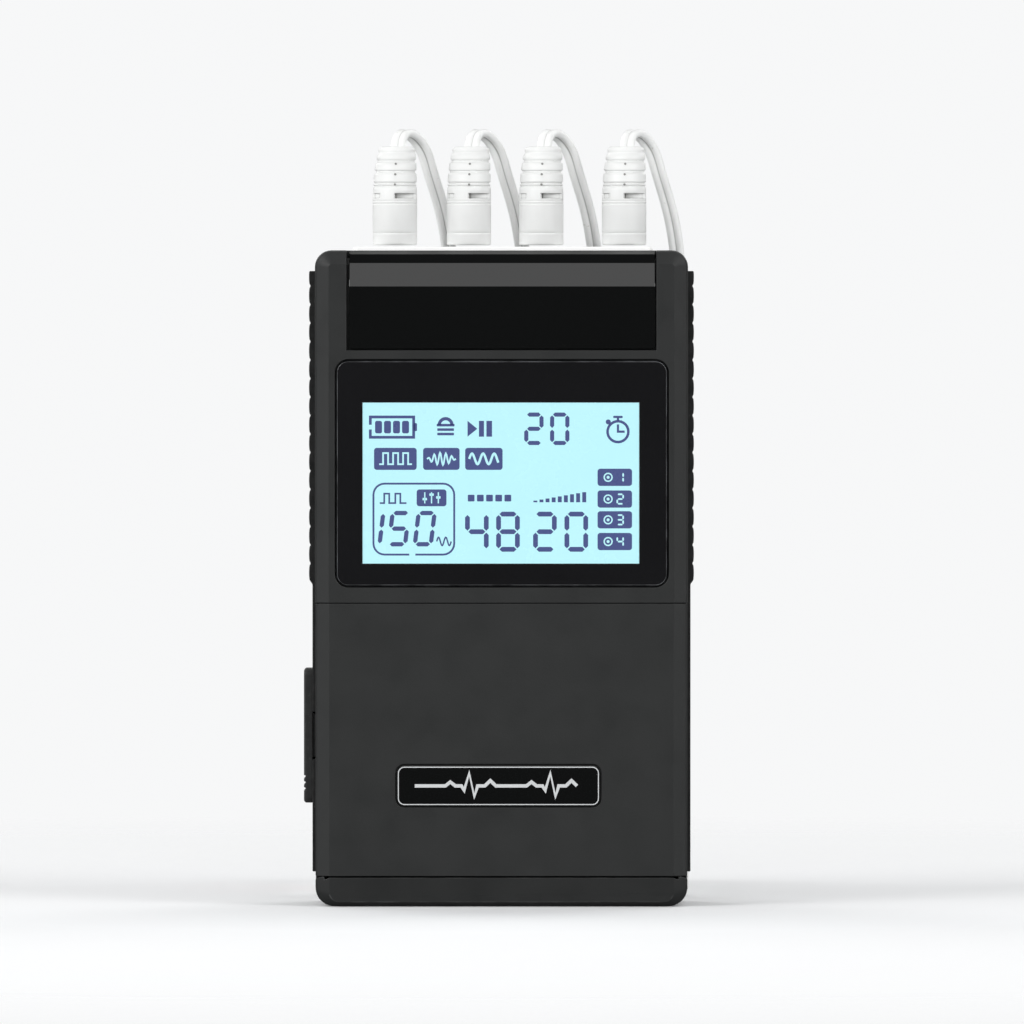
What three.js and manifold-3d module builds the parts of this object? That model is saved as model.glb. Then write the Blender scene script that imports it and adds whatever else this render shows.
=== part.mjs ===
// A hand-held four-channel nerve stimulator with its four lead wires.
// Millimetres. X points right, Y to the back and Z up. The origin is the middle of the base.
import * as THREE from 'three';
import { mergeVertices } from 'three/addons/utils/BufferGeometryUtils.js';
import Module from 'manifold-3d';

const wasm = await Module();
wasm.setup();

// ---------------------------------------------------------------- driving dimensions

const GAP = 0.3; // clearance between neighbouring pieces
const SEAM = GAP / 2; // each shell stops this far from the middle plane

const HALF_WIDTH = 33.6; // casing
const HALF_DEPTH = 14;
const HEIGHT = 118.1;
const WALL = 1.8;
const EDGE = 2.5; // radius of the upright edges
const TOP_CORNER = 3;
const BASE_CORNER = 3.3;
const INNER = HALF_WIDTH - WALL; // inner half width
const CEILING = 116.3; // underside of the top wall
const THROUGH = 40; // past the casing's sides, for cuts that go right through
const CAP_HEIGHT = 5.3;

const DECK_Y = -10.6; // face of the key deck behind the door
const DECK_BACK = -9.4;
const DOOR = { halfWidth: 33.5, bottom: 5.6, top: 54.5, thick: 1.6, back: -5, flange: 1.4 };
const HINGE = { y: -11, z: 8.6, pin: 0.7, bore: 1, lug: 1.8, inner: 30.3, swing: 4.55 };

const LENS = { x0: -29.8, x1: 29.95, z0: 57.6, z1: 98.3, radius: 2.2, front: -13.75, back: -12.5 };
const LCD = { x0: -26.5, x1: 26.3, z0: 59.9, z1: 92.5, front: -12.2, back: -9 };
const PANEL = { x0: -27.4, x1: 27.65, leftGap: 0.8 };
const BAR = { x0: -26.9, x1: 27.3, y0: -1.6, y1: 6.6, z0: 116, z1: 118.8 };

const PLUG_X = [-19.3, -5.9, 7.2, 22.2]; // sockets, left to right
const PLUG_Y = 2.5;
const PLUG_Z = BAR.z1 + GAP;
const PIN_RADIUS = 1.25;
const SOCKET_RADIUS = 1.6;

const BOARD = { front: -6, back: -4.4, halfWidth: 25.5, z0: 8, z1: 113.5 };
const KEY_X = [-22.5, -7.5, 7.5, 22.5];
const KEY_Z = 46;
const KEY = { radius: 4.5, flange: 5.4, hole: 4.9, front: -11.8, back: -8.9 };
const ROCKER_Z = 26;
const ROCKER = { halfWidth: 5, halfHeight: 11, room: 0.4, front: -11.3, back: -8.8, pivotY: -8.6 };
const BADGE = { x0: -18.8, x1: 17.7, z0: 18.1, z1: 25.3, radius: 1.3, front: -14.25, back: -13.65 };

const GRIP = { halfDepth: 4.6, groove: 0.8, tail: 34.15, crest: 34.75, z0: 5.9, z1: 114.4 };
const RIBS = { count: 17, pitch: 3.33, z0: 57 };
const PORT = { y: -2.5, halfThick: 1.6, z0: 26, z1: 35 };
const FLAP = { z0: 18.3, z1: 42.6, halfDepth: 4.2, inner: 34.45, outer: 35.7 };

const SCREWS = [[-28.6, 14], [28.6, 14], [-28.6, 98], [28.6, 98]];
const BOSS = { radius: 2.6, pilot: 1.3, headRoom: 2.7 };
const COVER = { halfWidth: 24, z0: 10, z1: 62 };
const CLIP = { halfWidth: 11, z0: 64, z1: 99, pivotY: 17, pivotZ: 95.5 };

const CORD = 2.7; // width of the flat twin cord
const HANK_X = [-25.7, -8.7, 8.3, 25.3]; // middle of each hank
const HANK_Y = 65;
const HANK_HEIGHT = 10;
const HANK_RUN = 44; // length of the straight runs
const LOBE = 8.4; // half width of a hank's end loops
const WAIST = 3.3; // half width of a hank where it is tied
const ENTRY = 7.65; // where a cord joins its hank, right of the hank's middle
const CONNECTOR = { radius: 2.6, neck: 1.2, boot: 8.5, body: 24.5, length: 35, offset: 2.9 };

// ---------------------------------------------------------------- shape helpers

// A closed geometry as a solid for booleans.
function solid(geometry) {
  const bare = geometry.clone();
  bare.deleteAttribute('normal');
  bare.deleteAttribute('uv');
  const merged = mergeVertices(bare, 1e-5);
  const vertProperties = new Float32Array(merged.attributes.position.array);
  const triVerts = new Uint32Array(merged.index.array);
  return new wasm.Manifold(new wasm.Mesh({ numProp: 3, vertProperties, triVerts }));
}

// The solid as a geometry to show.
function geometryOf(manifold) {
  const mesh = manifold.getMesh();
  const geometry = new THREE.BufferGeometry();
  geometry.setAttribute('position', new THREE.BufferAttribute(mesh.vertProperties, 3));
  geometry.setIndex(new THREE.BufferAttribute(mesh.triVerts, 1));
  geometry.computeVertexNormals();
  return geometry;
}

function block(x0, x1, y0, y1, z0, z1) {
  const geometry = new THREE.BoxGeometry(x1 - x0, y1 - y0, z1 - z0);
  geometry.translate((x0 + x1) / 2, (y0 + y1) / 2, (z0 + z1) / 2);
  return solid(geometry);
}

// A polygon from a list of corners.
function polygon(points) {
  return new THREE.Shape(points.map(([u, v]) => new THREE.Vector2(u, v)));
}

// A rectangle with a radius for each corner, from the lower left one anticlockwise.
function rectangle(u0, u1, v0, v1, [a, b, c, d]) {
  const shape = new THREE.Shape();
  shape.moveTo(u0 + a, v0);
  shape.lineTo(u1 - b, v0);
  if (b) shape.absarc(u1 - b, v0 + b, b, -Math.PI / 2, 0);
  shape.lineTo(u1, v1 - c);
  if (c) shape.absarc(u1 - c, v1 - c, c, 0, Math.PI / 2);
  shape.lineTo(u0 + d, v1);
  if (d) shape.absarc(u0 + d, v1 - d, d, Math.PI / 2, Math.PI);
  shape.lineTo(u0, v0 + a);
  if (a) shape.absarc(u0 + a, v0 + a, a, Math.PI, Math.PI * 1.5);
  return shape;
}

function extrude(shape, depth) {
  return new THREE.ExtrudeGeometry(shape, { depth, bevelEnabled: false, curveSegments: 3 });
}

// A shape drawn in X and Y, from z0 to z1.
function prismZ(shape, z0, z1) {
  return solid(extrude(shape, z1 - z0).translate(0, 0, z0));
}

// A shape drawn in X and Z, from y0 to y1.
function prismY(shape, y0, y1) {
  return solid(extrude(shape, y1 - y0).rotateX(Math.PI / 2).translate(0, y1, 0));
}

// A shape drawn in Y and Z, from x0 to x1.
function prismX(shape, x0, x1) {
  const turn = new THREE.Matrix4().makeBasis(
    new THREE.Vector3(0, 1, 0),
    new THREE.Vector3(0, 0, 1),
    new THREE.Vector3(1, 0, 0),
  );
  return solid(extrude(shape, x1 - x0).applyMatrix4(turn).translate(x0, 0, 0));
}

// A cylinder along X, Y or Z, from a to b, about a point in the other two axes.
function rod(axis, radius, a, b, u, v, sides = 12) {
  const geometry = new THREE.CylinderGeometry(radius, radius, b - a, sides);
  const middle = (a + b) / 2;
  if (axis === 'x') geometry.rotateZ(-Math.PI / 2).translate(middle, u, v);
  if (axis === 'y') geometry.translate(u, middle, v);
  if (axis === 'z') geometry.rotateX(Math.PI / 2).translate(u, v, middle);
  return solid(geometry);
}

const join = (first, ...others) => others.reduce((sum, other) => sum.add(other), first);
const cut = (first, ...others) => others.reduce((rest, other) => rest.subtract(other), first);
const mirrored = (make) => [make(-1), make(1)];
const ordered = (a, b) => [Math.min(a, b), Math.max(a, b)];

// A block on the left (side -1) or the right (side 1), between two distances from the middle.
function sideBlock(side, near, far, y0, y1, z0, z1) {
  const [x0, x1] = ordered(side * near, side * far);
  return block(x0, x1, y0, y1, z0, z1);
}

function sideRod(side, radius, near, far, y, z) {
  const [x0, x1] = ordered(side * near, side * far);
  return rod('x', radius, x0, x1, y, z, 16);
}

const group = new THREE.Group();
const casing = new THREE.Group();
const controls = new THREE.Group();
const inside = new THREE.Group();
const leads = new THREE.Group();
group.add(casing, controls, inside, leads);

function part(parent, name, shape, color, roughness, metalness = 0) {
  const geometry = shape instanceof THREE.BufferGeometry ? shape : geometryOf(shape);
  const material = new THREE.MeshStandardMaterial({ color, roughness, metalness });
  const mesh = new THREE.Mesh(geometry, material);
  mesh.name = name;
  parent.add(mesh);
  return mesh;
}

// ---------------------------------------------------------------- casing

const frontOutline = rectangle(
  -HALF_WIDTH, HALF_WIDTH, 0, HEIGHT, [0, 0, TOP_CORNER, TOP_CORNER],
);
const capOutline = rectangle(
  -DOOR.halfWidth, DOOR.halfWidth, 0, CAP_HEIGHT, [BASE_CORNER, BASE_CORNER, 0, 0],
);

// Room for the lens, the top panel, the door, the grips, the sockets and the charge port.
const lensPocket = prismY(
  rectangle(LENS.x0 - GAP, LENS.x1 + GAP, LENS.z0 - GAP, LENS.z1 + GAP, Array(4).fill(2.5)),
  -15, LENS.back + GAP,
);
const lcdOpening = block(LCD.x0 - GAP, LCD.x1 + GAP, -13, -10, LCD.z0 - GAP, LCD.z1 + GAP);
const panelPocket = prismX(
  polygon([
    [-15, 100.1], [-11.9, 100.1], [-11.9, 111], [-10.35, 115.5],
    [-9.2, 116.6], [-4.5, 116.6], [-4.5, 119], [-15, 119],
  ]),
  PANEL.x0 - PANEL.leftGap, PANEL.x1 + GAP,
);
const doorTop = DOOR.top + GAP;
const doorRecess = join(
  block(-THROUGH, THROUGH, -20, DECK_Y, 0, doorTop),
  block(-THROUGH, THROUGH, -20, -7.7, 0, 7.5),
  ...mirrored((side) => sideBlock(side, INNER, THROUGH, -20, DOOR.back + 0.4, 0, doorTop)),
);
const gripRoom = GRIP.halfDepth + GAP;
const gripGrooves = join(
  ...mirrored((side) => sideBlock(
    side, HALF_WIDTH - GRIP.groove, THROUGH, -gripRoom, gripRoom, 0, GRIP.z1 + GAP,
  )),
);
const barOpening = block(
  BAR.x0 - GAP, BAR.x1 + GAP, BAR.y0 - GAP, BAR.y1 + GAP, 115, 120,
);
const portRoom = PORT.halfThick + GAP;
const portOpening = block(
  -35, -29, PORT.y - portRoom, PORT.y + portRoom, PORT.z0 - GAP, PORT.z1 + GAP,
);

function frontShell() {
  const plan = rectangle(-HALF_WIDTH, HALF_WIDTH, -HALF_DEPTH, -SEAM, [EDGE, EDGE, 0, 0]);
  const upright = prismZ(plan, DOOR.bottom, HEIGHT);
  const outer = upright.intersect(prismY(frontOutline, -HALF_DEPTH, -SEAM));
  const cavity = join(
    block(-30.2, 30.2, DECK_BACK, 1, 0, 56.5),
    block(-INNER, INNER, -3, 1, 0, 56.5),
    block(-INNER, INNER, DECK_Y, 1, 56.3, 99.5),
    block(-INNER, INNER, -9.8, 1, 99.4, 114.6),
    block(-INNER, INNER, -4.2, 1, 99.4, CEILING),
  );
  const lugs = mirrored((side) => sideRod(side, HINGE.lug, HINGE.inner, INNER, HINGE.y, HINGE.z));
  const bores = mirrored((side) => sideRod(side, HINGE.bore, 29, 33, HINGE.y, HINGE.z));
  const bosses = SCREWS.map(([x, z]) => rod('y', BOSS.radius, z < DOOR.top ? -9.6 : -10.8, -SEAM, x, z));
  const holes = SCREWS.map(([x, z]) => rod('y', BOSS.pilot, -4, 1, x, z));
  const keyHoles = KEY_X.map((x) => rod('y', KEY.hole, -12, -8, x, KEY_Z, 20));
  const [w, h] = [ROCKER.halfWidth + ROCKER.room, ROCKER.halfHeight + ROCKER.room];
  const rockerHoles = KEY_X.map((x) => prismY(
    rectangle(x - w, x + w, ROCKER_Z - h, ROCKER_Z + h, Array(4).fill(w)), -12, -8,
  ));
  const hollow = cut(outer, cavity, doorRecess);
  return cut(
    join(hollow, ...lugs, ...bosses), ...bores, ...holes, ...keyHoles, ...rockerHoles,
    lensPocket, lcdOpening, panelPocket, gripGrooves, barOpening, portOpening,
  );
}

function rearShell() {
  const plan = rectangle(-HALF_WIDTH, HALF_WIDTH, SEAM, HALF_DEPTH, [0, 0, EDGE, EDGE]);
  const upright = prismZ(plan, DOOR.bottom, HEIGHT);
  const outer = upright.intersect(prismY(frontOutline, SEAM, HALF_DEPTH));
  const cavity = block(-INNER, INNER, -1, HALF_DEPTH - WALL, 0, CEILING);
  const ledge = block(-25.6, 25.6, 10.6, 12.3, 8.2, 63.8);
  const [reach, low, high] = [COVER.halfWidth + GAP, COVER.z0 - GAP, COVER.z1 + GAP];
  const rebate = block(-reach, reach, 12.2, 15, low, high);
  const batteryOpening = block(-22.6, 22.6, 10, 13, 11.5, 60.5);
  const bosses = SCREWS.map(([x, z]) => rod('y', BOSS.radius, SEAM, 12.3, x, z));
  const holes = SCREWS.map(([x, z]) => rod('y', BOSS.pilot, -1, 15, x, z));
  const headRooms = SCREWS.map(([x, z]) => rod('y', BOSS.headRoom, 12.6, 15, x, z));
  const ears = mirrored((side) => {
    const [x0, x1] = ordered(side * 11.4, side * 13.4);
    return prismX(rectangle(13, 19.6, 92, 99, [0, 3, 3, 0]), x0, x1);
  });
  const earBores = mirrored((side) => sideRod(side, 1.5, 11, 12.8, CLIP.pivotY, CLIP.pivotZ));
  return cut(
    join(cut(outer, cavity), ledge, ...bosses, ...ears),
    rebate, batteryOpening, ...holes, ...headRooms, ...earBores, gripGrooves, barOpening,
  );
}

// The cap's front is hollowed under the hinge, where the door's lower edge swings through.
function bottomCap() {
  const [w, d] = [DOOR.halfWidth, HALF_DEPTH];
  const upright = prismZ(rectangle(-w, w, -d, d, Array(4).fill(EDGE)), 0, CAP_HEIGHT);
  const outer = upright.intersect(prismY(capOutline, -HALF_DEPTH, HALF_DEPTH));
  const hollow = block(-INNER, INNER, -12.2, 12.2, 1.8, 6);
  const swing = rod('x', HINGE.swing, -THROUGH, THROUGH, HINGE.y, HINGE.z, 40);
  return cut(outer, hollow, swing);
}

// A tray in plan: the front panel and two side flanges, on stub pins at its lower corners.
function flipDoor() {
  const [w, back, inner] = [DOOR.halfWidth, DOOR.back, DOOR.halfWidth - DOOR.flange];
  const outline = rectangle(-w, w, -HALF_DEPTH, back, [EDGE, EDGE, 0, 0]);
  const room = block(-inner, inner, -HALF_DEPTH + DOOR.thick, 0, 0, 60);
  const tray = cut(prismZ(outline, DOOR.bottom, DOOR.top), room);
  const slope = prismX(
    polygon([[-14.1, 54.55], [-4.9, 54.1], [-4.9, 56], [-14.1, 56]]), -THROUGH, THROUGH,
  );
  const heel = prismX(
    polygon([[-4.9, 5], [-4.9, 7.35], [-5.05, 7.3], [-5.7, 5.6], [-5.75, 5]]), -THROUGH, THROUGH,
  );
  const reliefs = mirrored((side) => sideBlock(side, 30, inner, -13.1, -12, 5, 12));
  const pins = mirrored((side) => sideRod(side, HINGE.pin, 30.6, inner + 0.5, HINGE.y, HINGE.z));
  const badgeSeat = prismY(
    rectangle(
      BADGE.x0 - GAP, BADGE.x1 + GAP, BADGE.z0 - GAP, BADGE.z1 + GAP, Array(4).fill(BADGE.radius + GAP),
    ),
    -15, BADGE.back + GAP,
  );
  return cut(join(tray, ...pins), slope, heel, ...reliefs, badgeSeat);
}

function topPanel() {
  const section = polygon([
    [-13.9, 100.4], [-12.2, 100.4], [-12.2, 111], [-10.6, 115.4], [-9.4, 116.9], [-4.8, 116.9],
    [-4.8, 118], [-9.6, 118], [-11.2, 117.4], [-12.6, 115.8], [-13.9, 111.6],
  ]);
  return prismX(section, PANEL.x0, PANEL.x1);
}

function socketBar() {
  const outline = rectangle(BAR.x0, BAR.x1, BAR.y0, BAR.y1, Array(4).fill(1));
  const holes = PLUG_X.map((x) => rod('z', SOCKET_RADIUS, 115, 120, x, PLUG_Y));
  return cut(prismZ(outline, BAR.z0, BAR.z1), ...holes);
}

// A rubber strip with rounded ribs over its upper part and a plain lower tail.
function grip(side) {
  const inner = HALF_WIDTH - GRIP.groove + GAP;
  const valley = GRIP.tail - 0.05;
  const outline = [[inner, GRIP.z0], [GRIP.tail, GRIP.z0], [GRIP.tail, RIBS.z0 - 0.7]];
  for (let rib = 0; rib < RIBS.count; rib += 1) {
    const z = RIBS.z0 + rib * RIBS.pitch;
    outline.push([valley, z], [GRIP.crest - 0.15, z + 0.7], [GRIP.crest, z + RIBS.pitch / 2]);
    outline.push([GRIP.crest - 0.15, z + RIBS.pitch - 0.7]);
  }
  outline.push([valley, RIBS.z0 + RIBS.count * RIBS.pitch], [valley, GRIP.z1], [inner, GRIP.z1]);
  const corners = outline.map(([u, v]) => [side * u, v]);
  const strip = prismY(polygon(side > 0 ? corners : corners.reverse()), -GRIP.halfDepth, GRIP.halfDepth);
  return side > 0 ? strip : cut(strip, block(-THROUGH, -30, -6, 1, 24, 37));
}

function batteryCover() {
  const outline = rectangle(-COVER.halfWidth, COVER.halfWidth, COVER.z0, COVER.z1, Array(4).fill(1));
  const grooves = [0, 1, 2, 3].map((row) => block(-9, 9, 13.3, 15, 50 + row * 2.4, 51 + row * 2.4));
  return cut(prismY(outline, 12.5, 13.9), ...grooves);
}

function beltClip() {
  const section = polygon([
    [15, 93.5], [19.4, 91.5], [19.4, 71], [18.8, 69], [20.6, 64], [21.8, 64.4],
    [21.4, 68], [21.4, 97.5], [20.4, 99], [15.6, 99], [15, 98],
  ]);
  const pins = mirrored((side) => sideRod(side, 1.2, 10.5, 12.5, CLIP.pivotY, CLIP.pivotZ));
  return join(prismX(section, -CLIP.halfWidth, CLIP.halfWidth), ...pins);
}

function portCover() {
  const outline = rectangle(-FLAP.halfDepth, FLAP.halfDepth, FLAP.z0, FLAP.z1, Array(4).fill(1.2));
  const plugIn = block(-FLAP.inner - 0.2, -33.1, -3.7, -1.3, 26.6, 34.4);
  return join(prismX(outline, -FLAP.outer, -FLAP.inner), plugIn);
}

function screw() {
  const shank = rod('y', 1, -3, 13.4, 0, 0, 8);
  const head = rod('y', 2.4, 12.9, 13.9, 0, 0, 16);
  const slots = [block(-1.5, 1.5, 13.4, 15, -0.3, 0.3), block(-0.3, 0.3, 13.4, 15, -1.5, 1.5)];
  return cut(join(shank, head), ...slots);
}

part(casing, 'front_shell', frontShell(), 0x373838, 0.55);
part(casing, 'rear_shell', rearShell(), 0x353636, 0.55);
part(casing, 'bottom_cap', bottomCap(), 0x2e2f2f, 0.55);
part(casing, 'top_panel', topPanel(), 0x101211, 0.12);
part(casing, 'socket_bar', socketBar(), 0xf4f4f2, 0.4);
part(casing, 'side_grip_left', grip(-1), 0x191a1a, 0.8);
part(casing, 'side_grip_right', grip(1), 0x191a1a, 0.8);
part(casing, 'battery_cover', batteryCover(), 0x343535, 0.55);
part(casing, 'belt_clip', beltClip(), 0x242525, 0.5);
part(casing, 'port_cover', portCover(), 0x282929, 0.75);
SCREWS.forEach(([x, z], index) => {
  const mesh = part(casing, `case_screw_${index + 1}`, screw(), 0x8c8e90, 0.35, 1);
  mesh.position.set(x, 0, z);
});

const lensOutline = rectangle(LENS.x0, LENS.x1, LENS.z0, LENS.z1, Array(4).fill(LENS.radius));
part(casing, 'lcd_lens', prismY(lensOutline, LENS.front, LENS.back), 0x15161a, 0.08);

// ---------------------------------------------------------------- door and keys

part(controls, 'flip_door', flipDoor(), 0x363737, 0.55);
const badgeOutline = rectangle(BADGE.x0, BADGE.x1, BADGE.z0, BADGE.z1, Array(4).fill(BADGE.radius));
part(controls, 'badge', prismY(badgeOutline, BADGE.front, BADGE.back), 0x0d0e10, 0.15);

// A round key cap that a flange holds behind the deck.
const roundKey = join(
  rod('y', KEY.radius, KEY.front, KEY.back, 0, 0, 20),
  rod('y', KEY.flange, KEY.back - 0.2, KEY.back + 0.4, 0, 0, 20),
);
const keys = [['power', 0xa83a32], ['mode', 0x8f9496], ['timer', 0x8f9496], ['pause', 0x8f9496]];
keys.forEach(([name, color], index) => {
  part(controls, `key_${name}`, roundKey, color, 0.6).position.set(KEY_X[index], 0, KEY_Z);
});

// An oblong key that tilts up and down on a cross bar behind the deck.
const rocker = join(
  prismY(
    rectangle(
      -ROCKER.halfWidth, ROCKER.halfWidth, -ROCKER.halfHeight, ROCKER.halfHeight,
      Array(4).fill(ROCKER.halfWidth),
    ),
    ROCKER.front, ROCKER.back,
  ),
  rod('x', 0.5, -6.2, 6.2, ROCKER.pivotY, 0, 12),
);
KEY_X.forEach((x, index) => {
  part(controls, `rocker_ch${index + 1}`, rocker, 0xb9bdbf, 0.6).position.set(x, 0, ROCKER_Z);
});

// ---------------------------------------------------------------- inside the casing

part(inside, 'lcd_module', block(LCD.x0, LCD.x1, LCD.front, LCD.back, LCD.z0, LCD.z1), 0xbef5fb, 0.3);

const keypad = block(-29.4, 29.4, -6.9, -6.3, 12.5, 53);
const keypadHoles = SCREWS.map(([x, z]) => rod('y', 2.9, -8, -5, x, z));
part(inside, 'keypad_mat', cut(keypad, ...keypadHoles), 0x9aa0a0, 0.8);

const board = join(
  block(-BOARD.halfWidth, BOARD.halfWidth, BOARD.front, BOARD.back, BOARD.z0, BOARD.z1),
  block(-29.9, -25, BOARD.front, BOARD.back, 24, 37),
);
part(inside, 'main_board', board, 0x1e5b3a, 0.5);

part(inside, 'battery_pack', block(-22, 22, 3, 9.5, 12, 58), 0x2a5f9e, 0.4);
part(inside, 'boost_coil', rod('y', 5, BOARD.back + GAP, 2, 12, 78, 24), 0xb06a33, 0.4, 0.6);
part(inside, 'buzzer', rod('y', 6, BOARD.back + GAP, 0, -12, 78, 24), 0x1b1b1b, 0.5);

const portShell = block(-32.6, -25.2, PORT.y - PORT.halfThick, PORT.y + PORT.halfThick, PORT.z0, PORT.z1);
const portMouth = block(-33, -27, PORT.y - 1.2, PORT.y + 1.2, PORT.z0 + 0.4, PORT.z1 - 0.4);
part(inside, 'charge_port', cut(portShell, portMouth), 0xa9acae, 0.3, 1);

const jack = cut(
  block(-4, 4, BOARD.back + GAP, 6.5, 104.5, 115.7),
  rod('z', SOCKET_RADIUS, 106.5, 117, 0, PLUG_Y),
);
PLUG_X.forEach((x, index) => {
  part(inside, `output_jack_${index + 1}`, jack, 0x222222, 0.5).position.x = x;
});

// ---------------------------------------------------------------- leads

// A round body through rings of [distance along the lean, height, radius, tilt from level].
const LEAN = new THREE.Vector3(0.2, 0.98, 0);
const ACROSS = new THREE.Vector3(0.98, -0.2, 0);
function leaningBody(rings, sides) {
  const points = [];
  const faces = [];
  rings.forEach(([along, height, radius, tilt]) => {
    const center = LEAN.clone().multiplyScalar(along).setZ(height);
    const back = LEAN.clone().multiplyScalar(Math.cos(tilt)).setZ(-Math.sin(tilt));
    for (let side = 0; side < sides; side += 1) {
      const angle = (side / sides) * Math.PI * 2;
      const point = center.clone().addScaledVector(ACROSS, Math.cos(angle) * radius);
      point.addScaledVector(back, Math.sin(angle) * radius);
      points.push(...point.toArray());
    }
  });
  for (let ring = 0; ring < rings.length - 1; ring += 1) {
    for (let side = 0; side < sides; side += 1) {
      const a = ring * sides + side;
      const b = ring * sides + ((side + 1) % sides);
      faces.push(a, b, b + sides, a, b + sides, a + sides);
    }
  }
  const last = (rings.length - 1) * sides;
  for (let side = 1; side < sides - 1; side += 1) {
    faces.push(0, side + 1, side, last, last + side, last + side + 1);
  }
  const geometry = new THREE.BufferGeometry();
  geometry.setAttribute('position', new THREE.Float32BufferAttribute(points, 3));
  geometry.setIndex(faces);
  geometry.computeVertexNormals();
  return geometry;
}

// The overmould stands on the socket bar. Its strain relief leans back to where the cord leaves.
const overmould = leaningBody([
  [0, PLUG_Z, 3.7, 0], [0, PLUG_Z + 0.4, 4.02, 0], [0, 127, 4.02, 0], [0.15, 129.6, 3.93, 0.1],
  [0.5, 131.8, 3.8, 0.2], [1, 133.6, 3.6, 0.3], [1.6, 135.3, 3.2, 0.42], [1.9, 136.1, 2.4, 0.46],
], 14);
const plugPin = rod('z', PIN_RADIUS, 107.1, BAR.z1, 0, 0, 10);

// A cord's route in offsets from its plug: over in an arch, then down behind the casing.
const ARCH = [
  [0.45, 2.22, 136.62], [0.53, 2.62, 137.14], [0.79, 3.81, 138.32], [1.25, 5.36, 139.15],
  [1.97, 7.14, 139.46], [2.92, 8.88, 139.12], [3.84, 10.2, 138.29], [4.6, 11.11, 137.24],
  [5.06, 11.56, 136.42], [6.27, 12.68, 132.82], [7.92, 14.6, 127.4], [9.35, 16.6, 120.9],
  [10, 18.6, 114.5], [10.2, 20.9, 107], [10.2, 23.3, 99], [10.2, 25.2, 89], [10.2, 26.3, 77],
];
// Then [share of the way across to its hank, y, z], down to the table and along it.
const DROP = [
  [0.12, 28.8, 64], [0.42, 28.9, 46], [0.76, 28.9, 28], [0.97, 29.1, 15.5],
  [1, 30.5, 8], [1, 32.5, 3.8], [1, 35, 1.9],
];
const TUBE_END = [1, HANK_Y - HANK_RUN / 2 - 6, 1.45];

function leadRoute(index) {
  const plug = PLUG_X[index];
  const from = plug + ARCH[ARCH.length - 1][0];
  const to = HANK_X[index] + ENTRY;
  const upper = ARCH.map(([x, y, z]) => new THREE.Vector3(plug + x, PLUG_Y + y, z));
  const lower = [...DROP, TUBE_END].map(([share, y, z]) => (
    new THREE.Vector3(from + (to - from) * share, y, z)
  ));
  return new THREE.CatmullRomCurve3([...upper, ...lower], false, 'centripetal');
}

function leadTube(index) {
  const section = new THREE.Shape();
  section.absarc(0, 0, CORD / 2, 0, Math.PI * 2);
  const path = { extrudePath: leadRoute(index), steps: 36, curveSegments: 4, bevelEnabled: false };
  return new THREE.ExtrudeGeometry(section, path);
}

// The outline of a tied bundle: two round end loops drawn in to a waist between them.
function hank() {
  const half = HANK_RUN / 2;
  const side = [];
  for (let step = 1; step <= 11; step += 1) {
    const y = half - (step * HANK_RUN) / 12;
    const open = (1 - Math.cos((Math.PI * y) / half)) / 2;
    side.push([WAIST + (LOBE - WAIST) * open, y]);
  }
  const outline = new THREE.Shape();
  outline.moveTo(LOBE, half);
  outline.absarc(0, half, LOBE, 0, Math.PI);
  side.forEach(([x, y]) => outline.lineTo(-x, y));
  outline.absarc(0, -half, LOBE, Math.PI, Math.PI * 2);
  side.reverse().forEach(([x, y]) => outline.lineTo(x, y));
  return prismZ(outline, 0, HANK_HEIGHT);
}

// A pin connector lying along Y: ribbed boot, body, then its bare pin.
function connector() {
  const profile = [
    [0, 0], [CONNECTOR.neck, 0], [CONNECTOR.radius, CONNECTOR.boot],
    [CONNECTOR.radius, CONNECTOR.body], [1, CONNECTOR.body], [1, CONNECTOR.length - 1],
    [0.5, CONNECTOR.length], [0, CONNECTOR.length],
  ];
  const points = profile.map(([radius, along]) => new THREE.Vector2(radius, along));
  return new THREE.LatheGeometry(points, 8);
}

const hankSolid = hank();
const TIP_START = HANK_Y - 4.5;
const TIP_Z = HANK_HEIGHT + GAP + CONNECTOR.radius;
PLUG_X.forEach((x, index) => {
  const number = index + 1;
  part(leads, `plug_${number}`, overmould, 0xe6e6e4, 0.45).position.set(x, PLUG_Y, 0);
  part(leads, `plug_pin_${number}`, plugPin, 0xc9cbcd, 0.2, 1).position.set(x, PLUG_Y, 0);
  part(leads, `lead_${number}`, leadTube(index), 0xe8e8e6, 0.45);
  part(leads, `lead_hank_${number}`, hankSolid, 0xe8e8e6, 0.45).position.set(HANK_X[index], HANK_Y, 0);
  [['red', -1, 0xc4161c], ['white', 1, 0xe6e6e4]].forEach(([name, side, color]) => {
    const mesh = part(leads, `lead_tip_${name}_${number}`, connector(), color, 0.45);
    mesh.position.set(HANK_X[index] + side * CONNECTOR.offset, TIP_START, TIP_Z);
  });
});

export default group;
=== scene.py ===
import math

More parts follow.
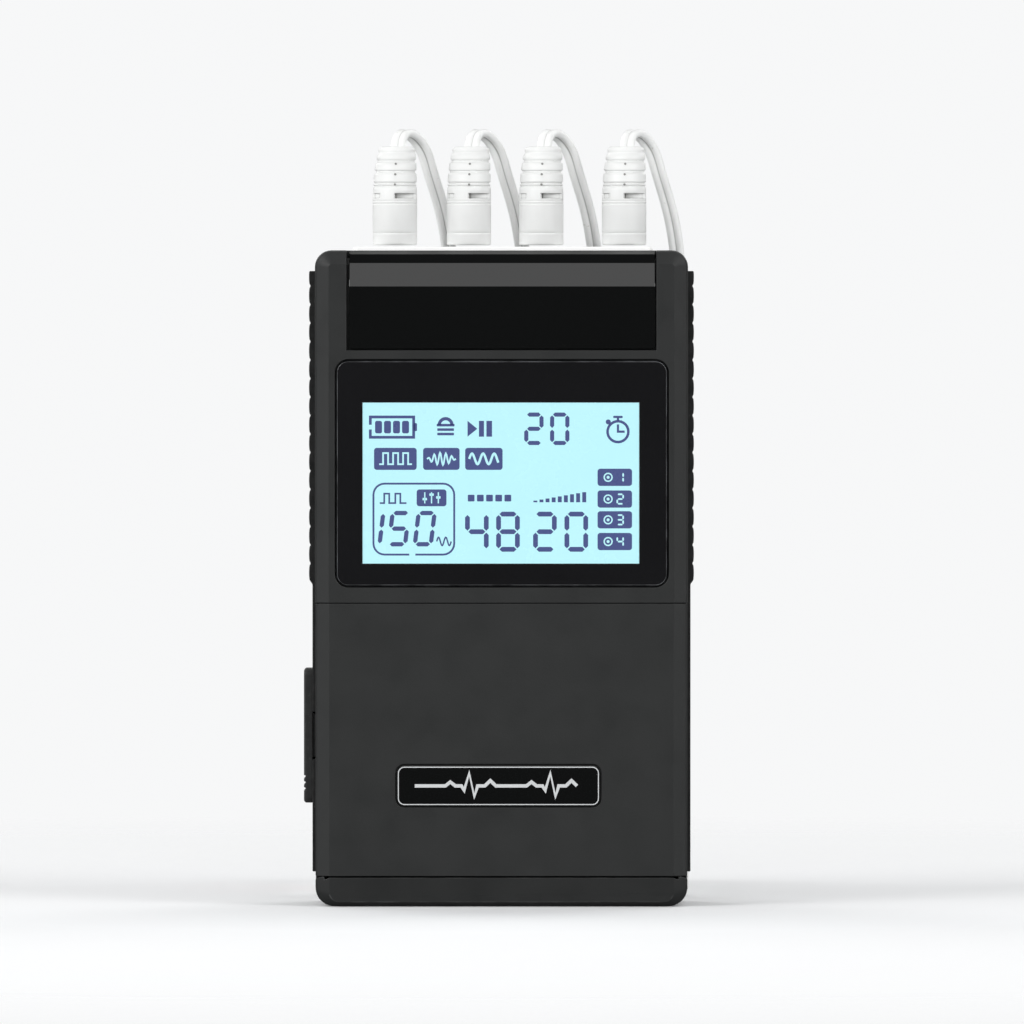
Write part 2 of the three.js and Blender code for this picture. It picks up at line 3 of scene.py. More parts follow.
import bmesh
import bpy
import numpy as np
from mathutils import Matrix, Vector


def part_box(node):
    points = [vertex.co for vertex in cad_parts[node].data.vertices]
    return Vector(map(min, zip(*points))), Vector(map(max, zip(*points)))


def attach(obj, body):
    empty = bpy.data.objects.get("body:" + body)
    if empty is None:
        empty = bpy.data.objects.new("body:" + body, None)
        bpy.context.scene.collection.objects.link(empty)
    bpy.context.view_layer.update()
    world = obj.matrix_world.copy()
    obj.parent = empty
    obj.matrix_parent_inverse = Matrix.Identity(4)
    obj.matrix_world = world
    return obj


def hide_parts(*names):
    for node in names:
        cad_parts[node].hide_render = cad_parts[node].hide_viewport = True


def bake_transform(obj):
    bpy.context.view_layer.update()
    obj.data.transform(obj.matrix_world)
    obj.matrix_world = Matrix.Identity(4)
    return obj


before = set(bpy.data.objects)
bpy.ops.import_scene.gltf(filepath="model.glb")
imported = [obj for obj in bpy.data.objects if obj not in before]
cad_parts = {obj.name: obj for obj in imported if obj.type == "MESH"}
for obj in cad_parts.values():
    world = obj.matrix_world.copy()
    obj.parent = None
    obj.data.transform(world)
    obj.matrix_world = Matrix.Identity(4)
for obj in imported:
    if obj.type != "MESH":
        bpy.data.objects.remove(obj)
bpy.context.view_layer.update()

MM = 0.001
CHANNELS = (1, 2, 3, 4)


def box(node):
    """The lowest and highest corner of a CAD node, in millimetres."""
    low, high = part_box(node)
    return low / MM, high / MM


def middle(node):
    low, high = box(node)
    return (low + high) / 2


def facing(node):
    """A CAD node's box, and its middle as seen from the front: low, high, x, z."""
    low, high = box(node)
    return low, high, (low.x + high.x) / 2, (low.z + high.z) / 2


# ---------------------------------------------------------------- camera

TARGET = Vector((0.0019, -0.0139, 0.071))
VIEW_WIDTH = 0.1843  # what the picture's width takes in at the target
ELEVATION = math.radians(0.8)
SENSOR, LENS = 36, 500  # so long a lens because the photo shows almost no perspective
FARTHEST = 30


def add_camera():
    camera = bpy.data.cameras.new("camera")
    camera.sensor_width = SENSOR
    camera.lens = LENS
    camera.clip_end = FARTHEST
    distance = VIEW_WIDTH * camera.lens / camera.sensor_width
    holder = bpy.data.objects.new("camera", camera)
    bpy.context.scene.collection.objects.link(holder)
    holder.location = TARGET + distance * Vector((0, -math.cos(ELEVATION), math.sin(ELEVATION)))
    holder.rotation_euler = (math.pi / 2 - ELEVATION, 0, 0)
    bpy.context.scene.camera = holder


add_camera()

# ---------------------------------------------------------------- shapes
# A shape is a pair of lists: points in millimetres and faces.

PLACES = {"x": (1, 2, 0), "y": (0, 2, 1), "z": (0, 1, 2)}  # where an outline's u, v and height go
MITRE = 0.5  # a ribbon's bend reaches no further than its half width over this
TIP = 0.01  # least radius of a turned solid, so that its ends have an area


def rounded(u0, u1, v0, v1, radii, steps=8):
    """A rectangle's outline with a radius for each corner, from the lower left one anticlockwise."""
    a, b, c, d = (radii,) * 4 if np.isscalar(radii) else radii
    corners = (
        (u0 + a, v0 + a, a, 180), (u1 - b, v0 + b, b, 270),
        (u1 - c, v1 - c, c, 0), (u0 + d, v1 - d, d, 90),
    )
    outline = []
    for u, v, radius, start in corners:
        if radius == 0:
            outline.append((u, v))
            continue
        for step in range(steps + 1):
            angle = math.radians(start + 90 * step / steps)
            outline.append((u + radius * math.cos(angle), v + radius * math.sin(angle)))
    return outline


def inset_box(low, high, axis, inset, radii, steps=8):
    """The rounded outline of a box seen along the axis, drawn in by an inset."""
    u, v, _ = PLACES[axis]
    return rounded(low[u] + inset, high[u] - inset, low[v] + inset, high[v] - inset, radii, steps)


def disc(u, v, radius, sides=32):
    """A circle's outline."""
    turns = [2 * math.pi * side / sides for side in range(sides)]
    return [(u + radius * math.cos(turn), v + radius * math.sin(turn)) for turn in turns]


def placed(axis, u, v, height):
    """A point of an outline, at a height along the axis."""
    point = [0, 0, 0]
    for place, value in zip(PLACES[axis], (u, v, height)):
        point[place] = value
    return point


def ring_faces(count, rings):
    """The faces of a closed solid through that many rings of count points."""
    last = (rings - 1) * count
    faces = [tuple(range(count)), tuple(range(last, last + count))]
    for low in range(0, last, count):
        for i in range(count):
            j = (i + 1) % count
            faces.append((low + i, low + j, low + j + count, low + i + count))
    return faces


def loft(axis, layers):
    """A solid through layers of (height along the axis, outline)."""
    points = [placed(axis, u, v, height) for height, outline in layers for u, v in outline]
    return points, ring_faces(len(layers[0][1]), len(layers))


def prism(axis, outline, low, high):
    return loft(axis, [(low, outline), (high, outline)])


def block(x0, x1, y0, y1, z0, z1):
    return prism("z", rounded(x0, x1, y0, y1, 0), z0, z1)


def rod(axis, radius, low, high, u, v, sides=32):
    return prism(axis, disc(u, v, radius, sides), low, high)


def lathe(axis, profile, u=0, v=0, sides=40):
    """A turned solid: profile is a list of (radius, height along the axis)."""
    return loft(axis, [(height, disc(u, v, max(radius, TIP), sides)) for radius, height in profile])


def ribbon(line, width, low, high, closed=False, axis="y"):
    """A strip of that width along a line of (u, v), as thick as low to high along the axis."""
    line = [Vector(point) for point in line]
    count = len(line)
    left, right = [], []
    for i, point in enumerate(line):
        before = line[i - 1] if closed or i else point * 2 - line[1]
        after = line[(i + 1) % count] if closed or i < count - 1 else point * 2 - line[i - 1]
        first, second = (point - before).normalized(), (after - point).normalized()
        normal = Vector((-first.y - second.y, first.x + second.x)).normalized()
        reach = width / 2 / max(MITRE, normal.dot(Vector((-first.y, first.x))))
        left.append(point + normal * reach)
        right.append(point - normal * reach)
    points = [placed(axis, u, v, height) for height in (low, high) for u, v in left + right]
    faces = []
    for i in range(count if closed else count - 1):
        j = (i + 1) % count
        a, b, c, d = i, j, j + count, i + count
        up = 2 * count
        faces += [(a, b, c, d), (a + up, d + up, c + up, b + up)]
        faces += [(a, a + up, b + up, b), (d, c, c + up, d + up)]
    if not closed:
        for i in (0, count - 1):
            faces.append((i, i + count, i + 3 * count, i + 2 * count))
    return points, faces


def arc(u, v, radius, start, end, steps=12):
    """Points on an arc between two angles in degrees."""
    angles = [math.radians(start + (end - start) * step / steps) for step in range(steps + 1)]
    return [(u + radius * math.cos(angle), v + radius * math.sin(angle)) for angle in angles]


def together(shapes):
    points, faces = [], []
    for more_points, more_faces in shapes:
        start = len(points)
        points += list(more_points)
        faces += [tuple(index + start for index in face) for face in more_faces]
    return points, faces


def moved(shape, x=0, y=0, z=0):
    return [(px + x, py + y, pz + z) for px, py, pz in shape[0]], shape[1]


SIDES = (-1, 1)  # left and right


def two_blocks(near, far, y0, y1, z0, z1):
    """A block on the left and its mirror image on the right."""
    return [block(*sorted((side * near, side * far)), y0, y1, z0, z1) for side in SIDES]


def two_rods(radius, near, far, y, z):
    """A rod along X on the left, and its mirror image on the right."""
    return [rod("x", radius, *sorted((side * near, side * far)), y, z) for side in SIDES]


# ---------------------------------------------------------------- objects

DOUBLED = 0.002  # points nearer than this are one
FLAT = 0.5  # faces are one where they meet at less than this many degrees
BEVELLED_FROM = 32  # edges sharper than this many degrees are rounded
FACE_WEIGHT = 80  # how far large faces rule the shading of the rounded edges beside them


def new_object(name, shape):
    """A mesh object from a shape, with its faces pointing out."""
    mesh = bpy.data.meshes.new(name)
    mesh.from_pydata([Vector(point) * MM for point in shape[0]], [], shape[1])
    work = bmesh.new()
    work.from_mesh(mesh)
    bmesh.ops.recalc_face_normals(work, faces=work.faces)
    work.to_mesh(mesh)
    work.free()
    obj = bpy.data.objects.new(name, mesh)
    bpy.context.scene.collection.objects.link(obj)
    return obj


def apply_modifiers(obj):
    bpy.context.view_layer.update()
    shown = obj.evaluated_get(bpy.context.evaluated_depsgraph_get())
    mesh = bpy.data.meshes.new_from_object(shown)
    obj.modifiers.clear()
    old, obj.data = obj.data, mesh
    mesh.name = obj.name
    bpy.data.meshes.remove(old)


def combine(obj, operation, shapes):
    """Joins shapes to the object, cuts them out of it, or keeps what they share with it."""
    tool = new_object("tool", together(shapes))
    modifier = obj.modifiers.new(operation, "BOOLEAN")
    modifier.operation = operation
    modifier.solver = "EXACT"
    modifier.use_self = True
    modifier.object = tool
    apply_modifiers(obj)
    bpy.data.objects.remove(tool)


def cut(obj, shapes):
    combine(obj, "DIFFERENCE", shapes)


def join(obj, shapes):
    combine(obj, "UNION", shapes)


def clean(obj):
    """Merges doubled points and the faces that lie in one plane."""
    work = bmesh.new()
    work.from_mesh(obj.data)
    bmesh.ops.remove_doubles(work, verts=work.verts, dist=DOUBLED * MM)
    bmesh.ops.dissolve_limit(
        work, angle_limit=math.radians(FLAT), verts=work.verts, edges=work.edges,
    )
    work.to_mesh(obj.data)
    work.free()


def smooth(obj, angle=35):
    """Smooth shading with crisp edges above an angle in degrees."""
    obj.data.shade_smooth()
    obj.data.set_sharp_from_angle(angle=math.radians(angle))


def dress(obj, material, body="root", replaces=()):
    """Gives a finished mesh its material (unless it has one), its body, and hides the CAD nodes that it
    replaces.
    """
    if material:
        obj.data.materials.clear()
        obj.data.materials.append(material)
    if body:
        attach(obj, body)
    if replaces:
        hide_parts(*replaces)
    return obj


def round_edges(obj, edge, angle, material=-1, clamp=True):
    """Rounds by edge millimetres the edges that are sharper than an angle in degrees."""
    bevel = obj.modifiers.new("edges", "BEVEL")
    bevel.width = edge * MM
    bevel.segments = 2
    bevel.limit_method = "ANGLE"
    bevel.angle_limit = math.radians(angle)
    bevel.use_clamp_overlap = clamp
    bevel.material = material
    apply_modifiers(obj)


def bevelled(obj, edge, material, replaces, body="root", crisp=22):
    """Rounds a finished object's edges by edge millimetres, and dresses it, with lighter rounded edges:
    partly wear and partly painted highlight.
    """
    clean(obj)
    for one in (material, EDGE_WEAR_AND_HIGHLIGHT.get(material.name, material)):
        obj.data.materials.append(one)
    round_edges(obj, edge, BEVELLED_FROM, 1, False)
    smooth(obj, crisp)
    normals = obj.modifiers.new("normals", "WEIGHTED_NORMAL")
    normals.keep_sharp = True
    normals.weight = FACE_WEIGHT
    apply_modifiers(obj)
    return dress(obj, None, body, replaces)


# ---------------------------------------------------------------- materials


NOISE = (0.3, 0.7)  # between these lie most of a noise's values
PATCHES = (0.38, 0.62)  # the same, for patches with a clearer edge
FADED = 0.25  # a lighter edge's least share of its full tint
SPECK_EDGE = 0.04  # how softly a speck ends
GROOVES = (0.49, 0.44)  # Pointiness of level ground, and of a groove, for the painted shade down in grooves


def linear(red, green, blue):
    """A display colour, 0 to 255 a channel, as the linear colour that a shader takes (sRGB)."""
    return [((c / 255 + 0.055) / 1.055) ** 2.4 if c > 10 else c / 3294.6 for c in (red, green, blue)]


class Look:
    """A Principled material whose colour, roughness and relief come from noise in the object's space."""

    def __init__(self, name, color, roughness, metallic=0.0):
        self.material = bpy.data.materials.new(name)
        self.material.use_nodes = True
        self.tree = self.material.node_tree
        self.shader = self.tree.nodes["Principled BSDF"]
        self.color = linear(*color)
        self.material.diffuse_color = (*self.color, 1)
        self.shader.inputs["Metallic"].default_value = metallic
        self.shader.inputs["Roughness"].default_value = roughness
        self.shader.inputs["Base Color"].default_value = (*self.color, 1)
        self.roughness = roughness
        self.place = self.add("ShaderNodeTexCoord").outputs["Object"]
        self.paint = None
        self.relief = None

    def add(self, kind, **settings):
        node = self.tree.nodes.new(kind)
        for key, value in settings.items():
            setattr(node, key, value)
        return node

    def link(self, source, target):
        self.tree.links.new(source, target)

    def noise(self, size, detail=3.0, stretch=(1, 1, 1)):
        """Noise whose features are about size millimetres across."""
        mapping = self.add("ShaderNodeMapping")
        mapping.inputs["Scale"].default_value = stretch
        self.link(self.place, mapping.inputs["Vector"])
        node = self.add("ShaderNodeTexNoise")
        node.inputs["Scale"].default_value = 1 / (size * MM)
        node.inputs["Detail"].default_value = detail
        self.link(mapping.outputs["Vector"], node.inputs["Vector"])
        return node.outputs["Fac"]

    def ramp(self, source, low, high, out_low, out_high):
        node = self.add("ShaderNodeMapRange")
        values = (low, high, out_low, out_high)
        for name, value in zip(("From Min", "From Max", "To Min", "To Max"), values):
            node.inputs[name].default_value = value
        self.link(source, node.inputs["Value"])
        return node.outputs["Result"]

    def blended(self, factor, first, second):
        """Colour first where factor is 0 and second where it is 1. A colour may be a socket."""
        node = self.add("ShaderNodeMix", data_type="RGBA")
        self.link(factor, node.inputs["Factor"])
        for socket, value in zip(("A", "B"), (first, second)):
            target = [i for i in node.inputs if i.name == socket and i.type == "RGBA"][0]
            if isinstance(value, bpy.types.NodeSocket):
                self.link(value, target)
            else:
                target.default_value = (*value, 1)
        return [o for o in node.outputs if o.type == "RGBA"][0]

    def mottle(self, amount, size=9):
        """Slow changes of colour, and of roughness with them."""
        field = self.noise(size, 4)
        dark = [c * (1 - amount) for c in self.color]
        light = [min(1, c * (1 + amount)) for c in self.color]
        self.paint = self.blended(self.ramp(field, *NOISE, 0, 1), dark, light)
        spread = 0.25 * self.roughness
        limits = (self.roughness - spread, self.roughness + spread)
        rough = self.ramp(self.noise(size / 3, 4), *NOISE, *limits)
        self.link(rough, self.shader.inputs["Roughness"])
        return self

    def grain(self, size, height, detail=2.0, stretch=(1, 1, 1)):
        """Relief: bumps about size across and height tall, in millimetres."""
        bump = self.add("ShaderNodeBump")
        bump.inputs["Distance"].default_value = height * MM
        self.link(self.noise(size, detail, stretch), bump.inputs["Height"])
        if self.relief:
            self.link(self.relief, bump.inputs["Normal"])
        self.relief = bump.outputs["Normal"]
        return self

    def specks(self, color, size, share):
        """Small specks of another colour over a share of the surface."""
        field = self.ramp(self.noise(size, 5), 1 - share, 1 - share + SPECK_EDGE, 0, 1)
        self.paint = self.blended(field, self.paint or self.color, linear(*color))
        return self

    def wear_and_highlight(self, color, strength):
        """Uneven patches of another colour, for the edges of a piece: partly wear and partly painted
        highlight.
        """
        patches = self.ramp(self.noise(2.5, 5), *PATCHES, FADED * strength, strength)
        self.paint = self.blended(patches, self.paint or self.color, linear(*color))
        return self

    def painted_groove_shade(self, color, strength):
        """Painted shade: a darker colour down in the grooves of a finely meshed piece, where shade falls.
        """
        bends = self.add("ShaderNodeNewGeometry").outputs["Pointiness"]
        grooves = self.ramp(bends, *GROOVES, 0, strength)
        self.paint = self.blended(grooves, self.paint or self.color, linear(*color))
        return self

    def set(self, **values):
        """Numbers that are the same all over, on the shader's own sockets."""
        for name, value in values.items():
            self.shader.inputs[name.replace("_", " ")].default_value = value
        return self

    def done(self):
        if self.paint:
            self.link(self.paint, self.shader.inputs["Base Color"])
        if self.relief:
            self.link(self.relief, self.shader.inputs["Normal"])
        return self.material


EDGE_WEAR_AND_HIGHLIGHT = {}  # the look of each material's edges, lighter: partly wear and partly painted highlight


def satin_plastic(name, color, rough=0.5, grain=0.35, height=0.012, edge=(84, 85, 85), shine=0.35):
    """Moulded plastic with a fine spark-eroded grain, and lighter edges: partly polish from handling,
    partly painted highlight.
    """
    face = Look(name, color, rough).mottle(0.01, 22).grain(grain, height).grain(5, 0.004)
    rim = Look(name + "_edge", color, rough * 0.8).wear_and_highlight(edge, 0.5).grain(grain, height / 2)
    EDGE_WEAR_AND_HIGHLIGHT[name] = rim.set(Specular_IOR_Level=shine).done()
    return face.set(Specular_IOR_Level=shine).done()


def glossy_plastic(name, color, edge):
    face = Look(name, color, 0.09).mottle(0.15, 24).grain(12, 0.003)
    # The rim is rougher, and painted a lighter grey: a painted highlight along the glossy edges.
    rim = Look(name + "_edge", color, 0.35).wear_and_highlight(edge, 0.6).grain(0.4, 0.002)
    EDGE_WEAR_AND_HIGHLIGHT[name] = rim.set(Coat_Weight=0.3, Coat_Roughness=0.05).done()
    return face.set(Coat_Weight=0.3, Coat_Roughness=0.04).done()


CASING = satin_plastic("casing", (38, 39, 39))
CAP = satin_plastic("cap_plastic", (33, 34, 34))
CLIP = satin_plastic("clip_plastic", (26, 27, 27), 0.42)
# The lighter edge colours of the gloss panel and the lens frame are painted highlights.
GLOSS = glossy_plastic("gloss_panel", (3, 4, 4), (92, 94, 97))
FRAME = glossy_plastic("lens_frame", (13, 13, 15), (110, 112, 115))
# a lighter grey for the top panel's level top: a painted highlight
LIP_HIGHLIGHT = satin_plastic("panel_lip_highlight", (66, 67, 66), 0.6, 0.5, 0.006, shine=0.1)
RUBBER = (
    Look("rubber", (20, 21, 21), 0.78).mottle(0.12, 5).grain(0.25, 0.03).grain(3, 0.02)
    .specks((46, 46, 45), 0.5, 0.34).set(Sheen_Weight=0.1, Sheen_Roughness=0.5).done()
)
FLAP_RUBBER = (
    Look("flap_rubber", (34, 35, 35), 0.7).mottle(0.08, 5).grain(0.25, 0.02).grain(3, 0.01)
    .specks((54, 54, 53), 0.5, 0.32).set(Sheen_Weight=0.1, Sheen_Roughness=0.5).done()
)
WHITE = satin_plastic("white_plastic", (250, 250, 249), 0.35, 0.5, 0.006, (255, 255, 255), 0.5)
# The jacket, overmould and red jacket carry painted shade: a darker colour down in their grooves.
JACKET = (
    Look("lead_jacket", (236, 237, 236), 0.4).mottle(0.035, 8).grain(0.3, 0.008).grain(4, 0.01)
    .specks((208, 207, 203), 0.8, 0.3).painted_groove_shade((120, 119, 116), 0.85).done()
)
OVERMOULD = (
    Look("overmould", (226, 227, 226), 0.46).mottle(0.03, 6).grain(0.22, 0.01).grain(2.6, 0.01)
    .painted_groove_shade((138, 137, 134), 0.8).done()
)
RED = (
    Look("red_jacket", (205, 22, 26), 0.36).mottle(0.08, 6).grain(0.3, 0.01)
    .painted_groove_shade((120, 12, 16), 0.8).done()
)
PIN = (
    Look("pin_metal", (214, 215, 217), 0.34, 0.8).mottle(0.1, 3).grain(0.2, 0.004, 3, (1, 1, 12))
    .wear_and_highlight((232, 232, 232), 0.3).done()
)
STEEL = Look("screw_steel", (120, 122, 124), 0.32, 1.0).mottle(0.15, 1.5).grain(0.15, 0.006).done()
# the screw's rounded edges are lighter steel: partly wear and partly painted highlight
EDGE_WEAR_AND_HIGHLIGHT["screw_steel"] = Look("screw_edge", (150, 152, 154), 0.25, 1.0).wear_and_highlight((215, 215, 215), 0.7).done()
BOARD = (
    Look("circuit_board", (24, 84, 52), 0.45).mottle(0.18, 4).grain(0.6, 0.02)
    .specks((182, 148, 60), 1.3, 0.36).done()
)
BATTERY = (
    Look("battery", (38, 88, 150), 0.35).mottle(0.1, 12).grain(2, 0.03)
    .specks((70, 118, 176), 3, 0.4).done()
)
COIL = (
    Look("coil", (178, 98, 48), 0.3, 0.8).mottle(0.2, 2).grain(0.35, 0.06, 1, (1, 8, 1))
    .specks((230, 160, 100), 0.8, 0.4).done()
)
KEY = satin_plastic("keys", (142, 146, 149), 0.5, 0.3, 0.01, (190, 193, 195), 0.5)
POWER_KEY = satin_plastic("power_key", (164, 46, 38), 0.5, 0.3, 0.01, (214, 110, 100), 0.5)
PRINT = Look("print", (226, 228, 228), 0.5).mottle(0.05, 2).grain(0.2, 0.004).done()
KEY_PRINT = Look("key_print", (38, 40, 44), 0.5).mottle(0.1, 2).grain(0.2, 0.004).done()
# painted shade: the grey of the gate marks' discs
GATE_MARK_SHADE = Look("gate_mark_shade", (138, 138, 136), 0.6).mottle(0.1, 1).grain(0.1, 0.01).done()
SILVER = Look("silver_print", (188, 190, 191), 0.5).mottle(0.03, 2).grain(0.25, 0.002).done()
DARK = satin_plastic("dark_plastic", (24, 25, 26), 0.48)


DIMMEST = 0.985  # the least share of the screen's light, in its uneven places


def screen_look(name, color, shade, glow):
    """A part of the display: a share of its colour is paint, and a share is light from behind it."""
    look = Look(name, color, 0.25)
    lit = look.color
    dim = [c * DIMMEST for c in lit]
    look.color = [c * shade for c in lit]
    look.mottle(0.015, 12).grain(7, 0.003)
    shine = look.blended(look.ramp(look.noise(16, 3), *NOISE, 0, 1), dim, lit)
    look.link(shine, look.shader.inputs["Emission Color"])
    return look.set(Emission_Strength=glow, Coat_Weight=0.3, Coat_Roughness=0.05).done()


LIT = screen_look("lcd_lit", (192, 247, 255), 0.4, 0.52)
INK = screen_look("lcd_ink", (74, 84, 134), 0.5, 0.45)

# ---------------------------------------------------------------- cords, in metres

CORE = 0.000725  # radius of each of its two cores
SPREAD = 0.000625  # how far each core lies from the middle
LEG = 0.00135  # diameter of a single core where the cord has split
RING = 0.0008  # distance between a cord's rings

# The route that each lead's CAD tube follows. First in offsets from its plug:
ARCH = [
    (0.00038, 0.00186, 0.13600), (0.00053, 0.00262, 0.13714), (0.00079, 0.00381, 0.13832),
    (0.00125, 0.00536, 0.13915), (0.00197, 0.00714, 0.13946), (0.00292, 0.00888, 0.13912),
    (0.00384, 0.01020, 0.13829), (0.00460, 0.01111, 0.13724), (0.00506, 0.01156, 0.13642),
    (0.00627, 0.01268, 0.13282), (0.00792, 0.01460, 0.12740), (0.00935, 0.01660, 0.12090),
    (0.01000, 0.01860, 0.11450), (0.01020, 0.02090, 0.10700), (0.01020, 0.02330, 0.09900),
    (0.01020, 0.02520, 0.08900), (0.01020, 0.02630, 0.07700),
]
# Then in share of the way across to its hank, y and z:
DROP = [
    (0.12, 0.02880, 0.0640), (0.42, 0.02890, 0.0460), (0.76, 0.02890, 0.0280), (0.97, 0.02910, 0.0155),
    (1.0, 0.03050, 0.00797), (1.0, 0.03247, 0.00379), (1.0, 0.03498, 0.00189), (1.0, 0.03716, 0.00136),
    (1.0, 0.04000, 0.00142), (1.0, 0.04300, 0.00140),
]
# Where the cord lies inside the plug's boot, in offsets from the plug.
IN_BOOT = [(0.00002, 0.00015, 0.1322), (0.0001, 0.00055, 0.1336), (0.00021, 0.00108, 0.1348)]

HALF_RUN = 0.022  # half a hank's straight run
LANES = 0.00155  # distance between the outer and inner lane
LOBE = 0.00765  # radius of the outer lane's end loops
WAIST = 0.00235  # how far the outer lane is from the middle at the tie
LAYER_0 = 0.0014  # height of the lowest layer
LAYER = 0.00275  # distance between layers


def gaps_between(rows):
    """The distance from each row's point to the next one's."""
    return np.linalg.norm(np.diff(rows[:, :3], axis=0), axis=1)


def spline(points, step):
    """Rows about step apart on a natural cubic spline through these rows."""
    points = np.array(points, float)
    count = len(points)
    gaps = gaps_between(points)
    knots = np.concatenate([[0], np.cumsum(gaps)])
    matrix, right = np.eye(count), np.zeros(points.shape)
    slopes = np.diff(points, axis=0) / gaps[:, None]
    for i in range(1, count - 1):
        matrix[i, i - 1:i + 2] = gaps[i - 1], 2 * (gaps[i - 1] + gaps[i]), gaps[i]
        right[i] = 6 * (slopes[i] - slopes[i - 1])
    bend = np.linalg.solve(matrix, right)
    at = np.linspace(0, knots[-1], math.ceil(knots[-1] / step) + 1)
    i = np.clip(np.searchsorted(knots, at, side="right") - 1, 0, count - 2)
    gap, after, before = gaps[i, None], (at - knots[i])[:, None], (knots[i + 1] - at)[:, None]
    curve = (bend[i] * before**3 + bend[i + 1] * after**3) / (6 * gap)
    curve += (points[i] / gap - bend[i] * gap / 6) * before
    return curve + (points[i + 1] / gap - bend[i + 1] * gap / 6) * after


def even(line, step):
    """A line's rows again, about step apart."""
    along = np.concatenate([[0], np.cumsum(gaps_between(line))])
    at = np.linspace(0, along[-1], math.ceil(along[-1] / step) + 1)
    return np.stack([np.interp(at, along, column) for column in line.T], axis=1)


def ease(value, start, end):
    """0 before start, 1 after end, and smooth between them."""
    share = min(1, max(0, (value - start) / (end - start)))
    return share * share * (3 - 2 * share)


def on_hank(turn, lane, height):
    """A point of a winding. Turn counts from the start of a right-hand run; lane 0 is outermost."""
    radius, waist = LOBE - lane * LANES, WAIST - lane * LANES
    quarter, share = divmod((turn % 1) * 4, 1)
    if quarter in (0, 2):
        y = (2 * share - 1) * HALF_RUN
        open_share = (1 - math.cos(math.pi * y / HALF_RUN)) / 2
        x = waist + (radius - waist) * open_share
        return (x, y, height) if quarter == 0 else (-x, -y, height)
    angle = math.pi * share
    if quarter == 1:
        return radius * math.cos(angle), HALF_RUN + radius * math.sin(angle), height
    return -radius * math.cos(angle), -HALF_RUN - radius * math.sin(angle), height


# The places in a hank, as changes of (turn where it starts, turn where it ends, lane, layer).
LANE_CHANGES = [(0.6875, 0.75, 1), (2.5625, 2.625, -1), (4.1875, 4.25, 1)]
LAYER_CHANGES = [(1.625, 1.6875, 1), (3.5, 3.5625, 1)]
LAST_RISE = (4.76, 4.9)
LAST_TURN = (4.86, 5.0)  # where the cord twists flat and moves over the lane below it
FLAT_HEIGHT = 0.00905
SPLIT_Y = (-0.020, -0.010)  # the splitter's ends, from the hank's middle
SPLIT_HEIGHT = 0.00985
LEG_LOW, LEG_OVER, LEG_END = 0.00898, 0.0121, 0.0129  # a single core's heights
LEG_RISE = (0.70, 0.90)
ON_FLOOR = 0.003  # below this height the cord lies on the floor,
FLOOR_TWIST = (0.036, 0.0425)  # and between these y it turns on edge, as it lies in its hank


def turn_at(y):
    """The turn at which the winding's first run passes y."""
    return (y + HALF_RUN) / (2 * HALF_RUN) / 4


def winding():
    """The twin cord in its hank: rows of x, y, z and how flat it lies, from upright 0 to flat 1."""
    rows = []
    for turn in np.linspace(0, 5 + turn_at(SPLIT_Y[0]), 720):
        lane = sum(way * ease(turn, start, stop) for start, stop, way in LANE_CHANGES)
        layer = sum(ease(turn, start, stop) for start, stop, _ in LAYER_CHANGES)
        height = LAYER_0 + layer * LAYER
        height += (FLAT_HEIGHT - height) * ease(turn, *LAST_RISE)
        flat = ease(turn, *LAST_TURN)
        rows.append((*on_hank(turn, lane - 0.5 * flat, height), flat))
    return np.array(rows)


def unit(rows):
    return rows / np.maximum(np.linalg.norm(rows, axis=1), 1e-12)[:, None]


def tangents(line):
    ahead = np.vstack([line[1:], 2 * line[-1] - line[-2]])
    behind = np.vstack([2 * line[0] - line[1], line[:-1]])
    return unit(ahead - behind)


def square_to(along, rows):
    """The unit rows at right angles to along that are nearest to rows."""
    return unit(rows - (rows * along).sum(1)[:, None] * along)


def turned(first, second, angles):
    """Each row's direction, turned from the first towards the second by its angle."""
    return first * np.cos(angles)[:, None] + second * np.sin(angles)[:, None]


def sweep(name, line, wide, section):
    """A closed tube: section's (wide, thick) points on each point of the line."""
    along = tangents(line)
    wide = square_to(along, wide)
    thick = np.cross(along, wide)
    rings = [centre + a * w + b * t for centre, w, t in zip(line, wide, thick) for a, b in section]
    obj = new_object(name, (np.array(rings) / MM, ring_faces(len(section), len(line))))
    smooth(obj, 50)
    return obj


def twin_section():
    """Two round cores side by side, joined by a web that is 6 degrees of a core thick."""
    meet = math.degrees(math.acos(-SPREAD / CORE)) - 6
    right = arc(SPREAD, 0, CORE, -meet, meet, 11)
    return right + [(-u, -v) for u, v in right]


def centre_of(node):
    """The middle of a CAD node, in metres."""
    low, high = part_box(node)
    return (low + high) / 2


def plug_place(channel):
    return centre_of(f"plug_pin_{channel}")


def hank_place(channel):
    return centre_of(f"lead_hank_{channel}")


def twin_cord(channel):
    """A lead's flat twin cord, from inside its plug's boot to the splitter on its hank."""
    plug, hank = plug_place(channel), hank_place(channel)
    start = plug.x + ARCH[-1][0]
    finish = hank.x + LOBE
    route = [(plug.x + x, plug.y + y, z) for x, y, z in IN_BOOT + ARCH]
    route += [(start + (finish - start) * share, y, z) for share, y, z in DROP]
    free = even(spline(route, RING / 4), RING)
    wound = winding() + (hank.x, hank.y, 0, 0)
    wound = even(wound, RING)
    line = np.vstack([free[:-1], wound[:, :3]])
    along = tangents(free)[:-1]
    across = square_to(along, np.tile((1.0, 0, 0), (len(free) - 1, 1)))
    on_floor = (free[:-1, 2] < ON_FLOOR)
    twist = np.array([ease(y, *FLOOR_TWIST) for y in free[:-1, 1]]) * on_floor * math.pi / 2
    free_wide = turned(across, -np.cross(along, across), twist)
    along = tangents(wound[:, :3])
    up = square_to(along, np.tile((0, 0, 1.0), (len(wound), 1)))
    wound_wide = turned(up, np.cross(along, up), wound[:, 3] * math.pi / 2)
    cord = sweep(f"lead_cord_{channel}", line, np.vstack([free_wide, wound_wide]), twin_section())
    return cord, line


